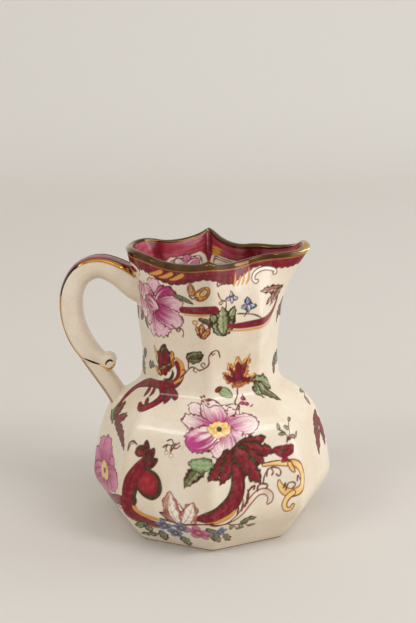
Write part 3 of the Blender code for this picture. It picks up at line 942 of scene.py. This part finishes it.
    # white acanthus over the posies
    left.leaf("8 21.6 -2.6 25.2 2", (linear(150, 78, 60), UMBER, SHELL), 0.1, 3)
    left.leaf("6.6 21.4 6.6 30.6 2.6", WHITE_LEAF, 0.1, 3)
    left.leaf("6 21 2 35.4 3.9", WHITE_LEAF, 0.22, 3)
    left.stroke("3.6 21.6 0.8, 0.6 25.5 1.2, 0.3 30 1, 1.6 34 0.3",
        washed(linear(168, 104, 84), BROWN, SHELL))
    left.leaf("8 21.4 12.8 32 3.7", WHITE_LEAF, -0.16, 3)
    left.stroke("11.6 22.6 0.3, 14 25.6 0.7, 14 28.6 0.6, 13 31 0.2",
        washed(linear(176, 112, 92), BROWN, SHELL))
    left.line("-3 22, 3 21, 9 20.8, 16 22.4, 22 23.6", 0.35)
    left.leaf("-12 16 -17.4 12 2.4, -11 14 -12 10 2, -8 8 -16.6 6 1.6, -5.4 11 -5.6 3.8 2.2, "
        "4.6 9 6 2.8 2.2, 18 18 22 8.6 2, 19 20 23.5 15 1.8", POSY_LEAF, 0.08, 3, UMBER)
    left.posy("-2.2 17 3.9, 6 17.4 3.5, 1.8 11.8 3.4", BLUE, BLUE_DEEP)
    left.posy("13.6 15.6 5.2", PINK, MAGENTA)
    right.posy("-17 17.5 2.9", BLUE, BLUE_DEEP)
    right.sprig("-14 22, -11 20, -8.6 16.6", 2.6)
    right.sprig("-12 21, -6 20, -3.4 17.4", 2.6)
    right.leaf("-8 21 -1 22.8 1.2", GREEN_LEAF, 0.15, 3)
    right.leaf("-19 15 -15.4 8.4 1.5, -14.6 14.6 -10.4 8 1.4", POSY_LEAF, 0, 3)


def paint_side_bloom(side, after):
    """The group beside the handle, which runs into the band round the foot."""
    side.flower(-4, 32, 13.5, BLOOM, MAGENTA, PINK, MAGENTA)
    side.scroll("27 28.5 2.4, 18 26.6 2.2, 8 23 2.2, -4 18.6 2.1, -14 15 2, -24 13 2", None, OLIVE, 0.2)
    side.stroke("24 24.6 0.3, 12 21 0.6, -2 16 0.6, -14 12.2 0.6, -22 10.6 0.3", AMBER_DEEP)
    side.leaf("-3 56.5 16 49.4 2.6", RED_LEAF, 0.16)
    side.leaf("-2 56 6 62.4 2.6", RED_LEAF, 0.1, 4)
    side.leaf("-6 55 -11 70 3.2", DARK_LEAF, 0.1)
    side.leaf("-5 57 -4.5 67 2.6", BROWN_LEAF, -0.1, 4)
    side.scroll("-7.5 63 0.8, -7.6 70 1.6, -6.6 77 2, 0 81 2, 8 83 1.8, 14 84 1.8, 19.2 84.6 1.9, "
        "21.8 87.2 1.8, 22.4 91 1.6, 20.8 94.6 1.1", UMBER, None)
    side.scroll("13 83 1, 16.4 80 1.8, 17.2 75 2.2, 15 71 2.2, 11.4 69.8 1.7, 8.2 71 0.9", OLIVE, None)
    side.leaf("13.6 72.6 9.4 75.4 1", RED_LEAF, 0, 0, veins=False)
    side.leaf("3 81 6 75 1.2, 8 82.6 9.6 76.6 1.2, 17 82 21.4 75 1.2, 18 83 24 77.6 1.2",
        RED_LEAF, 0.05, 0, OLIVE, veins=False)
    # crimson tulip with gold sepals
    after.fan("-10 89.8", "-17 100.4 2, -17.4 90.4 1.5, -5.2 99.6 2.6", GOLD_LEAF, BROWN)
    after.leaf("-9.8 89.6 -9.4 102 3.7", CRIMSON_LEAF, 0.05, 3, UMBER)
    after.leaf("-10.6 98.6 -8.8 102.8 1.3", (OLIVE, UMBER, OLIVE_GREEN), 0, 0, veins=False)
    after.leaf("-6 94.4 -13.6 90.6 1.1", (OLIVE, UMBER, AMBER), 0, 2, veins=False)
    after.stroke("-4.6 85.4 0.4, -1.9 87.6 0.6, -0.9 91 0.9, -1.4 94.6 0.9, -3.4 96.8 0.4",
        AMBER, AMBER_DEEP, 0.2)
    after.stroke("-10 86.6 0.3, -7 86.8 0.8, -5.6 89.4 0.7, -6 91.2 0.2", OLIVE)
    # tendril with a small green leaf
    after.line("-2 88, 0.6 90.6, 3 93.2, 5.2 93.4, 7 92.4, 9.6 93.4, 11.8 95.6, 12 99, 14 101.4, "
        "16.4 101.4, 17.2 98.4", 0.26)
    after.line("0.6 90.6, 0.2 92, -1 91.8; 5 93.4, 4.4 91.8, 5.8 91.4; 9.4 93.6, 8 95, 9.4 96, 10 94.8; "
        "2 93, 2.4 96, 4.4 98; 13.4 101, 13.8 99.8, 14.8 100.4", 0.22)
    after.leaf("1.6 97 9.4 99.8 2.1", DARK_LEAF, 0.16, 4, UMBER)
    after.leaf("2.4 96.4 8 97 1.1", GREEN_LEAF, -0.1, 3)


def paint_shoulder(middle, after):
    """Small motifs between the collar and the shoulder: an amber and crimson leaf, berries, green leaves."""
    for share, width, colours in ((1.0, 1.15, GOLD_LEAF), (0.84, 0.72, CRIMSON_LEAF)):
        lobes = points("-6.2 90.6 2, -3.6 95.6 2, 9.6 88.2 2, 6.8 97.8 2.4, 1.4 97.4 2.8")
        lobes = [(1 + (x - 1) * share, 85 + (y - 85) * share, half * width) for x, y, half in lobes]
        middle.fan("1 85", lobes, colours)
    middle.leaf("-2 84.6 5 84.6 1.1", (AMBER, CRIMSON, AMBER), -0.06, 3, AMBER_DEEP)
    middle.line("5.6 85.6, 9 85.2, 11 85.8", 0.25)
    middle.leaf("-7.6 83.2 -2.8 80 1.9", PALE_LEAF, 0.1, 0)
    middle.leaf("-9.6 83.2 -7 84.6 0.9", BROWN_LEAF, 0, 0, veins=False)
    middle.line("0.6 83, 0 80, -2 77, -2.4 75", 0.26)
    for x, y in points("2.2 78, 2.8 74.8, 1 75.6"):
        middle.dot([(x, y, 1.0)], MAGENTA)
        middle.dot([(x - 0.3, y + 0.3, 0.3)], PINK, None)
    middle.line("-7 75.4, -4 76, -1 74.6, -2 72; 0 76, -2.6 73, -4 70.6; 3 77, 2.4 80; 4 73, 5.4 73.8", 0.24)
    middle.dot("-16.6 78.6 0.45, -15 79.4 0.45, -15.6 81 0.45, -17 80.4 0.45, -14.6 77.6 0.45", AMBER_DEEP)
    middle.line("-16 77, -14.6 75.6, -12 76.6, -9 75.6", 0.22)
    # green leaves over the next arris
    after.leaf("-16 85.6 -4.2 79.8 3.4", GREEN_LEAF, 0.1)
    after.leaf("-15.6 84.4 -8 72 3", DARK_LEAF, 0.1)
    after.leaf("-15.4 84 -15.6 77.4 1.6", GREEN_LEAF, 0, 3)
    # motifs beside the spout
    after.leaf("15.5 55.6 7 37.4 3.4", RED_LEAF, -0.12, 4)
    after.leaf("15.4 54 17 38 2.4", RED_LEAF, 0.1, 4)
    after.leaf("12 92.6 6 87 1.8", GREEN_LEAF, 0.1, 4)
    after.leaf("13 92 19 83.4 1.6", GREEN_LEAF, -0.1, 4)
    after.sprig("19 70, 15.6 66, 12.6 64", 3.4)


def paint_neck(first, left, right, last):
    """The neck's broken band with side blooms, leaves and buds."""
    left.flower(-12.6, 119.6, 12.8, SIDE_BLOOM, MAGENTA, linear(228, 190, 198), linear(150, 40, 96), False)
    first.flower(-1, 121, 8.5, SIDE_BLOOM[:6], PINK, BLUSH, MAGENTA, False)
    first.leaf("-3 114 -7 110 1.5, 0 112 2 108 1.5, -16 118 -19 108 1.5", BROWN_LEAF, 0, 3)
    first.leaf("-8 91 -5 96 1.6, -1 89 5.5 91 1.6, -21 84 -16 92 1.6", DARK_LEAF, 0.1, 3)
    left.line("-5 112.6, -3 111, -1 111.6, -1.4 109.6, -2.6 110", 0.25)
    left.line("-1 111.6, 0.6 110, 0.2 107.4", 0.22)
    left.leaf("-3 127.4 6.2 124 1", GREEN_LEAF, 0.12, 0)
    # two gold buds, each with a paler heart
    for x0, y0, x1, y1, width in points("6.6 128.6 6.4 133.8 1.7, 8.8 126.8 15.6 131 2.6"):
        left.leaf([(x0, y0, x1, y1, width)], GOLD_LEAF, 0, 0)
        heart = ((x0 * 2 + x1) / 3, (y0 * 2 + y1) / 3, (x0 + x1 * 5) / 6, (y0 + y1 * 5) / 6, width * 0.5)
        left.leaf([heart], (YELLOW, AMBER_DEEP, WHITE), 0, 0)
    left.line("5 128, 6.6 126.4, 8.8 127.2, 9.4 125.6", 0.28)
    left.stroke("1 120.6 1.7, 9 120.6 2, 17 120.7 2", CRIMSON_WASH)
    left.stroke("1.6 118.3 0.35, 9 118 0.45, 14 118.2 0.35", AMBER)
    left.leaf("8.6 116.4 16 112.6 1.3", DARK_LEAF, 0.08, 3)
    left.dot("6.4 114.6 1.1", AMBER)
    left.dot("6.4 114.6 0.4", CREAM_PALE, None)
    left.fan("9.6 107.6", "6.6 112.8 1.2, 9.6 114 1.4, 13.2 112.4 1.3", (AMBER, CRIMSON, YELLOW), BROWN)
    # leaf cluster, blue buds and the lower band
    right.fan("-6 109.4", "-12.4 119 2.6, -0.4 121.4 2.6, -11 114.4 2.4, -2 115 2.4, -6.6 121.8 3",
        (linear(140, 148, 100), OLIVE, linear(186, 194, 148)), UMBER)
    right.line("-10 129, -8.6 126.6, -7 125.2, -5 124.4, -5 121", 0.25)
    right.line("-7 125.2, -8.6 124, -7.8 123.2, -6.6 124.2", 0.22)
    for x, y, size in points("-2 126.4 2.9, 6.4 121.6 3.4"):
        for angle in (90, 200, 340, 270):
            turn = math.radians(angle)
            tip = (x + size * 1.15 * math.cos(turn), y + size * math.sin(turn))
            right.leaf([(x, y - 0.2, *tip, size * 0.36)], (BLUE, BLUE_DEEP, WHITE), 0, 2, veins=False)
    right.line("1 118, 5 117.4, 9 116.4, 13 114", 0.28)
    right.line("5.6 119.6, 5 117.4, 4 116.4", 0.22)
    right.stroke("-3.5 112.4 1, 2 112 1.5, 8 112.2 1.7, 14 112.6 1.7, 20 113 1.6, 25 115 1.4, "
        "27.5 119 1.1, 27.8 122 0.5", CRIMSON_WASH)
    right.stroke("-4 110.2 0.25, 4 109.6 0.45, 12 109.9 0.5, 20 110.4 0.4, 25 112 0.25", AMBER)
    last.fan("2 125.4", "-12.8 126.6 1.8, -8.6 120 1.9, -5 118.6 1.8", (linear(176, 116, 96), UMBER, SHELL),
        BROWN)
    last.fan("14.6 110", "9 119 1.6, 15 121 1.5, 6 112.6 1.2", RED_LEAF, UMBER)


def border_grid(p, lowest):
    """Rows above a rise, as an index for lay, with the turns, x and y of their points."""
    rows = np.nonzero(p.rises > lowest)[0]
    turns = np.arange(ALL_COLUMNS) / COLUMNS
    x, y = np.meshgrid(turns * MEAN_SIDE, p.rises[rows])
    return (rows[:, None], np.arange(ALL_COLUMNS)[None, :]), turns, x, y


def brushed(x, y, size):
    """Streaks that run round the jug, from 0 to 1."""
    return grain(x, y, size, 1) * 0.4 + grain(x * 0.12, y, 0.8, 2) * 0.6


def paint_rim(p):
    """The crimson border under the lip, with its scalloped edge, gilt strokes and white scrolls."""
    grid, turns, x, y = border_grid(p, 128)
    swag = np.abs(np.sin(math.pi * (turns * 1.0 + 0.12)))[None, :]
    fine = np.abs(np.sin(math.pi * turns * 9))[None, :]
    low = 135.4 - 2.6 * swag**2 - 0.55 * fine + 0.5 * grain(x, y * 0, 2.5, 4)
    low = low + 2.6 * np.clip(1.6 - np.abs((turns % 4) - 3.2) * 2.4, 0, 1)[None, :]
    streaks = brushed(x, y, 3.2)
    colour = blended(CRIMSON, CRIMSON_DEEP, (streaks - 0.5) * 2.2)
    colour = blended(colour, CRIMSON_PALE, (0.42 - streaks) * 1.6)
    colour = blended(colour, CRIMSON_DEEP, 1.0 - (y - low) / 0.8)
    p.lay(*grid, 0.5 + (y - low) / 0.4, colour)
    strength = 0.35 + 0.5 * grain(x, y * 0, 6.0, 2)
    p.lay(*grid, strength * (0.5 - (np.abs(y - 139.9) - 0.2) / 0.4), AMBER)
    for number in (1, 5):
        side = Side(p, number)
        for step in range(3):
            x0 = -15.4 + step * 5.8
            path = ((x0, 135.2, 0.25), (x0 + 3, 136.2, 0.75), (x0 + 6.4, 138, 0.9), (x0 + 7.6, 138.6, 0.3))
            side.stroke(path, AMBER, AMBER_DEEP, 0.15)
    for number in (2, 6):
        side = Side(p, number)
        for x0, x1, top in points("-0.6 1 137.6, 1.8 4.4 135.8, 4.4 7 136.6, 7 10.8 138.4"):
            path = ((x0, 131.6, 0.2), ((x0 + x1) / 2 + 0.3, 134, 0.55), (x1, top, 0.2))
            side.stroke(path, AMBER, AMBER_DEEP, 0.1)
        side.line("-11.4 133.4, -10.4 132.2, -8.6 133.2, -4 133.6, -1 132.8", 0.34)
        side.stroke("13.6 131.6 0.3, 12.4 131.4 0.6, 11.6 133 0.6, 13 135 0.6, 16 136.2 0.6, 20 136.4 0.6, "
            "24 135.4 0.7, 25 134 0.5, 23.8 133.4 0.3", WHITE, BROWN, 0.5)
    for number in (0, 4):
        Side(p, number).stroke("-8 131 0.4, -9.6 133 0.8, -7 135.4 0.9, -1 136 0.8, 4 134.4 0.8, "
            "3.4 132.6 0.4", WHITE, BROWN, 0.4)


def paint_inside():
    """The crimson border inside the lip, its gold feathers, and a bloom below it on each side."""
    p = Print(RISES, WIDTHS)
    grid, turns, x, y = border_grid(p, 124)
    arch = np.abs(np.sin(math.pi * turns))[None, :]
    low = 125.0 + 8.4 * np.clip((arch - 0.15) / 0.55, 0, 1) ** 0.6 + 0.5 * grain(x, y * 0, 2.0, 4)
    streaks = brushed(x, y, 3.0)
    # painted reflection: the border turns paler pink towards the middle of each side
    painted_reflection = blended(linear(158, 50, 66), linear(184, 88, 104), (streaks - 0.3) * 1.6)
    colour = blended(CRIMSON, CRIMSON_DEEP, (streaks - 0.5) * 2)
    colour = blended(colour, painted_reflection, (arch - 0.34) * 4 + (streaks - 0.5))
    colour = blended(colour, CRIMSON_DEEP, 1.0 - (y - low) / 0.9)
    p.lay(*grid, 0.5 + (y - low) / 0.4, colour)
    for number in range(8):
        for drop in (0.8, 2.0):
            arc = points("-9.4 129.6, -8 132.4, -4 133.2, 4 133.2, 8 132.4, 9.4 129.6")
            Side(p, number).line([(x, y - drop) for x, y in arc], 0.2)
    for number in (1, 5):
        before, side, after, last = [Side(p, number + step) for step in (-1, 0, 1, 2)]
        for reach, rise in points("7 136.4, 6.4 134.6, 5 133"):
            path = ((10.5, rise - 0.8, 0.3), (10.5 - reach * 0.5, rise, 0.9), (10.5 - reach, rise + 0.8, 0.3))
            side.stroke(path, AMBER, AMBER_DEEP, 0.2)
        side.leaf("-1 126 -1.6 131.4 1.6", GOLD_LEAF, 0, 0)
        after.flower(0, 126, 7.2, SIDE_BLOOM, BLUSH, PINK, CRIMSON, False)
        after.leaf("-9 121 -2 125 1.6", GOLD_LEAF, 0, 0)
        after.leaf("-3 119 6 122 1.8", GREEN_LEAF, 0.1, 3)
        last.posy("0 121 3.4", BLUE, BLUE_DEEP)
        last.sprig("-8 119, -3 121, 3 124, 7 124", 2.4)
        before.leaf("-6 119 3 124 1.8", GREEN_LEAF, 0.1, 3)
    return p


def paint_outside():
    """The whole outer print. The four sides at the back repeat the four at the front."""
    p = Print(RISES, WIDTHS)
    for turn in (0, 4):
        first, left, right, last = [Side(p, turn + step) for step in range(4)]
        paint_side_bloom(first, left)
        paint_belly(left, right)
        paint_shoulder(right, last)
        paint_neck(first, left, right, last)
    paint_rim(p)
    return p


# Materials -----------------------------------------------------------------------------------------


class Look:
    """A material's node tree with short ways to add to it."""

    def __init__(self, name):
        self.material = bpy.data.materials.new(name)
        self.material.use_nodes = True
        self.nodes = self.material.node_tree.nodes
        self.links = self.material.node_tree.links
        self.shader = self.nodes["Principled BSDF"]
        self.place = self.nodes.new("ShaderNodeTexCoord").outputs["Object"]

    def set(self, **values):
        for name, value in values.items():
            self.shader.inputs[name.replace("_", " ")].default_value = value

    def link(self, source, name):
        self.links.new(source, self.shader.inputs[name])

    def noise(self, scale, detail):
        node = self.nodes.new("ShaderNodeTexNoise")
        node.inputs["Scale"].default_value = scale
        node.inputs["Detail"].default_value = detail
        self.links.new(self.place, node.inputs["Vector"])
        return node.outputs["Fac"]

    def cracks(self, scale):
        node = self.nodes.new("ShaderNodeTexVoronoi")
        node.feature = "DISTANCE_TO_EDGE"
        node.inputs["Scale"].default_value = scale
        self.links.new(self.place, node.inputs["Vector"])
        return node.outputs["Distance"]

    def between(self, source, from_low, from_high, to_low, to_high):
        node = self.nodes.new("ShaderNodeMapRange")
        limits = {"From Min": from_low, "From Max": from_high, "To Min": to_low, "To Max": to_high}
        for name, value in limits.items():
            node.inputs[name].default_value = value
        self.links.new(source, node.inputs["Value"])
        return node.outputs["Result"]

    def mix(self, share, first, second):
        node = self.nodes.new("ShaderNodeMix")
        node.data_type = "RGBA"
        for socket, value in ((node.inputs[0], share), (node.inputs[6], first), (node.inputs[7], second)):
            if isinstance(value, bpy.types.NodeSocket):
                self.links.new(value, socket)
            elif socket.type == "RGBA":
                socket.default_value = (*value, 1.0)
            else:
                socket.default_value = value
        return node.outputs[2]

    def axis(self, name):
        split = self.nodes.new("ShaderNodeSeparateXYZ")
        self.links.new(self.place, split.inputs["Vector"])
        return split.outputs[name]

    def bump(self, source, strength, distance):
        node = self.nodes.new("ShaderNodeBump")
        node.inputs["Strength"].default_value = strength
        node.inputs["Distance"].default_value = distance
        self.links.new(source, node.inputs["Height"])
        self.link(node.outputs["Normal"], "Normal")


def glaze_look(name, printed=False):
    """Old ivory glaze: cream that pools deeper in places, faint crazing, a few specks, a soft wet gloss."""
    look = Look(name)
    cream = look.mix(look.between(look.noise(38, 4), 0.35, 0.65, 0.0, 1.0), CREAM, CREAM_DEEP)
    cream = look.mix(look.between(look.noise(95, 3), 0.5, 0.75, 0.0, 0.6), cream, CREAM_PALE)
    cream = look.mix(look.between(look.cracks(230), 0.0, 0.018, 0.16, 0.0), cream, linear(150, 118, 80))
    cream = look.mix(look.between(look.noise(900, 1), 0.76, 0.79, 0.0, 0.55), cream, linear(120, 88, 55))
    colour = cream
    if printed:
        ink = look.nodes.new("ShaderNodeVertexColor")
        ink.layer_name = "print"
        worn = look.between(look.noise(420, 3), 0.5, 0.8, 0.0, 0.08)
        ink_colour = look.mix(worn, ink.outputs["Color"], cream)
        colour = look.mix(ink.outputs["Alpha"], cream, ink_colour)
    look.link(colour, "Base Color")
    look.link(look.between(look.noise(70, 4), 0.3, 0.7, 0.14, 0.24), "Roughness")
    look.set(IOR=1.5, Specular_IOR_Level=0.22, Coat_Weight=0.12, Coat_Roughness=0.04)
    look.bump(look.noise(130, 3), 0.12, 0.0006)
    return look.material


def gold_look(name, deep, pale, worn, ends=None):
    """Fired gold, rubbed thin in places. ends is a light tan painted at the spout tip and the handle corner
    as a painted reflection.
    """
    look = Look(name)
    colour = look.mix(look.between(look.noise(120, 3), 0.35, 0.65, 0.0, 1.0), deep, pale)
    colour = look.mix(look.between(look.noise(600, 3), 0.62, 0.76, 0.0, 0.6), colour, worn)
    if ends is not None:
        # painted reflection: the gold turns light tan towards the spout tip and the handle corner of the lip
        colour = look.mix(look.between(look.axis("X"), 0.036, 0.045, 0.0, 1.0), colour, ends)
        colour = look.mix(look.between(look.axis("X"), -0.0335, -0.0375, 0.0, 0.9), colour, ends)
    look.link(colour, "Base Color")
    look.link(look.between(look.noise(300, 3), 0.3, 0.7, 0.08, 0.17), "Roughness")
    look.set(Metallic=1.0)
    look.bump(look.noise(260, 2), 0.04, 0.0002)
    return look.material


# Stage, light and camera ---------------------------------------------------------------------------

LIT_PLACE = (0.0, -0.03, 0.058)


def make_stage():
    """A pale table that curves up into a backdrop, with painted light that makes it lighter towards the back.
    """
    look = Look("stage")
    mottle = look.between(look.noise(5, 1), 0.2, 0.8, 0.0, 1.0)
    paper_and_painted_light = look.mix(mottle, linear(214, 209, 202), linear(211, 206, 199))
    # painted light: the paper lightens towards the back of the table and up the backdrop
    paper_and_painted_light = look.mix(look.between(look.axis("Y"), 0.1, 1.6, 0.0, 1.0), paper_and_painted_light, linear(236, 232, 226))
    look.link(paper_and_painted_light, "Base Color")
    look.set(Roughness=0.9)
    profile = [(-3.0, 0.0), (1.2, 0.0)]
    for step in range(1, 13):
        turn = math.pi / 2 * step / 12
        profile.append((1.2 + 0.8 * math.sin(turn), 0.8 - 0.8 * math.cos(turn)))
    profile.append((2.0, 3.5))
    grid = np.array([[(x, y, z) for x in np.linspace(-4, 4, 17)] for y, z in profile])
    floor = grid_object("stage", grid, look.material)


def area_light(name, place, size, power, colour):
    """A soft rectangular light that faces the jug's shoulder."""
    light = bpy.data.lights.new(name, "AREA")
    light.shape = "RECTANGLE"
    light.size, light.size_y = size
    light.energy = power
    light.color = colour
    made = new_object(name, light)
    made.location = place
    made.rotation_euler = (Vector(LIT_PLACE) - Vector(place)).to_track_quat("-Z", "Y").to_euler()


def make_light():
    area_light("key", (0.90, -0.66, 1.08), (0.60, 0.36), 6.0, (0.97, 0.98, 1.0))
    area_light("fill", (-0.90, -0.66, 1.08), (0.46, 0.22), 3.2, (1.0, 0.99, 0.97))
    area_light("strip", (0.02, -0.50, 1.15), (1.20, 0.04), 1.3, (1.0, 1.0, 0.98))
    area_light("window", (1.70, 0.10, 0.45), (1.2, 0.9), 12.0, (0.94, 0.97, 1.0))
    world = bpy.data.worlds.new("studio")
    world.use_nodes = True
    background = world.node_tree.nodes["Background"]
    background.inputs["Color"].default_value = (*linear(231, 229, 226), 1.0)
    background.inputs["Strength"].default_value = 0.82
    bpy.context.scene.world = world


def make_camera():
    data = bpy.data.cameras.new("camera")
    data.lens = 58.52
    data.sensor_width = 36
    data.clip_start = 0.01
    camera = new_object("camera", data)
    camera.location = (0.0024, -0.4527, 0.2141)
    camera.rotation_euler = (math.radians(75.722), math.radians(0.972), math.radians(0.123))
    bpy.context.scene.camera = camera
    bpy.context.scene.view_settings.view_transform = "Standard"
    bpy.context.scene.view_settings.look = "None"


# The jug -------------------------------------------------------------------------------------------


def own(piece, slot, *nodes):
    """Attach a piece to the jug's one body and hide the nodes it stands for. slot, its material slot, is not
    used.
    """
    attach(piece, "root")
    if nodes:
        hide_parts(*nodes)


def main():
    glaze = glaze_look("ivory_glaze")
    printed = glaze_look("printed_glaze", printed=True)
    slip = glaze_look("glazed_slip")
    # painted reflection: the light tan of the rim gold at the spout tip and the handle corner
    reflection_tan = linear(222, 186, 134)
    gold = gold_look("fired_gold", linear(84, 62, 38), linear(112, 84, 52), linear(70, 48, 28), reflection_tan)
    bright = gold_look("bright_gold", linear(190, 132, 58), linear(222, 172, 92), linear(140, 86, 38))
    # umber gold for the spur's stroke and hook, and painted shadow on the upper back stretch of the handle
    # lines
    umber_and_shade = gold_look("umber_gold_and_shade", linear(44, 34, 24), linear(66, 50, 34), linear(38, 28, 20))
    dark = gold_look("foot_line", linear(84, 52, 32), linear(120, 78, 44), linear(60, 38, 26))
    own(make_body(glaze), "glaze", "jug_body")
    outside = paint_outside().layers()
    for side in range(8):
        columns = np.arange(side * COLUMNS, (side + 1) * COLUMNS + 1) % ALL_COLUMNS
        wall, normals, colours = (grid[:, columns] for grid in (WALL_POINTS, WALL_NORMALS, outside))
        own(grid_object(f"print_side_{side + 1}", wall, printed, False, normals, colours), "glaze")
    rows = RISES > LOWEST_INSIDE_PRINT
    lining = (WALL_POINTS - INWARD * (WALL + PRINT_OVER_GLAZE))[rows][::-1, ::2]
    colours = paint_inside().layers()[rows][::-1, ::2]
    own(grid_object("print_inside", lining, printed, closed=True, colours=colours), "glaze")
    handle = make_handle(printed)
    paint_handle(handle)
    own(handle, "glaze", "handle")
    cheek = object_tree(handle)
    marks = (("stroke", SPUR_STROKE, umber_and_shade), ("crescent", SPUR_CRESCENT, bright), ("hook", SPUR_HOOK, umber_and_shade))
    for side, hand in ((-1, "front"), (1, "back")):
        for name, path, look in marks:
            own(make_mark(f"spur_{name}_{hand}", cheek, path, side, look), "gilding")
    tree = wall_tree()
    arch = sampled(ARCH_LINE)[int(2.3 * LINE_STEPS)]
    leg = sampled(LEG_LINE)[3 * LINE_STEPS]
    own(make_fillet("upper_joint_slip", tree, arch, (0.82, 0.0, -0.57), slip), "slip", "upper_handle_joint")
    own(make_fillet("lower_joint_slip", tree, leg, (0.46, 0.0, -0.89), slip), "slip", "lower_handle_joint")
    own(make_rim_gold(gold), "gilding", "rim_gilding")
    own(make_foot_line(dark), "gilding", "foot_gilding")
    own(make_handle_line("handle_line_front", -1, bright, umber_and_shade), "gilding", "handle_gilding_front")
    own(make_handle_line("handle_line_back", 1, bright, umber_and_shade), "gilding", "handle_gilding_back")
    make_stage()
    make_light()
    make_camera()


main()
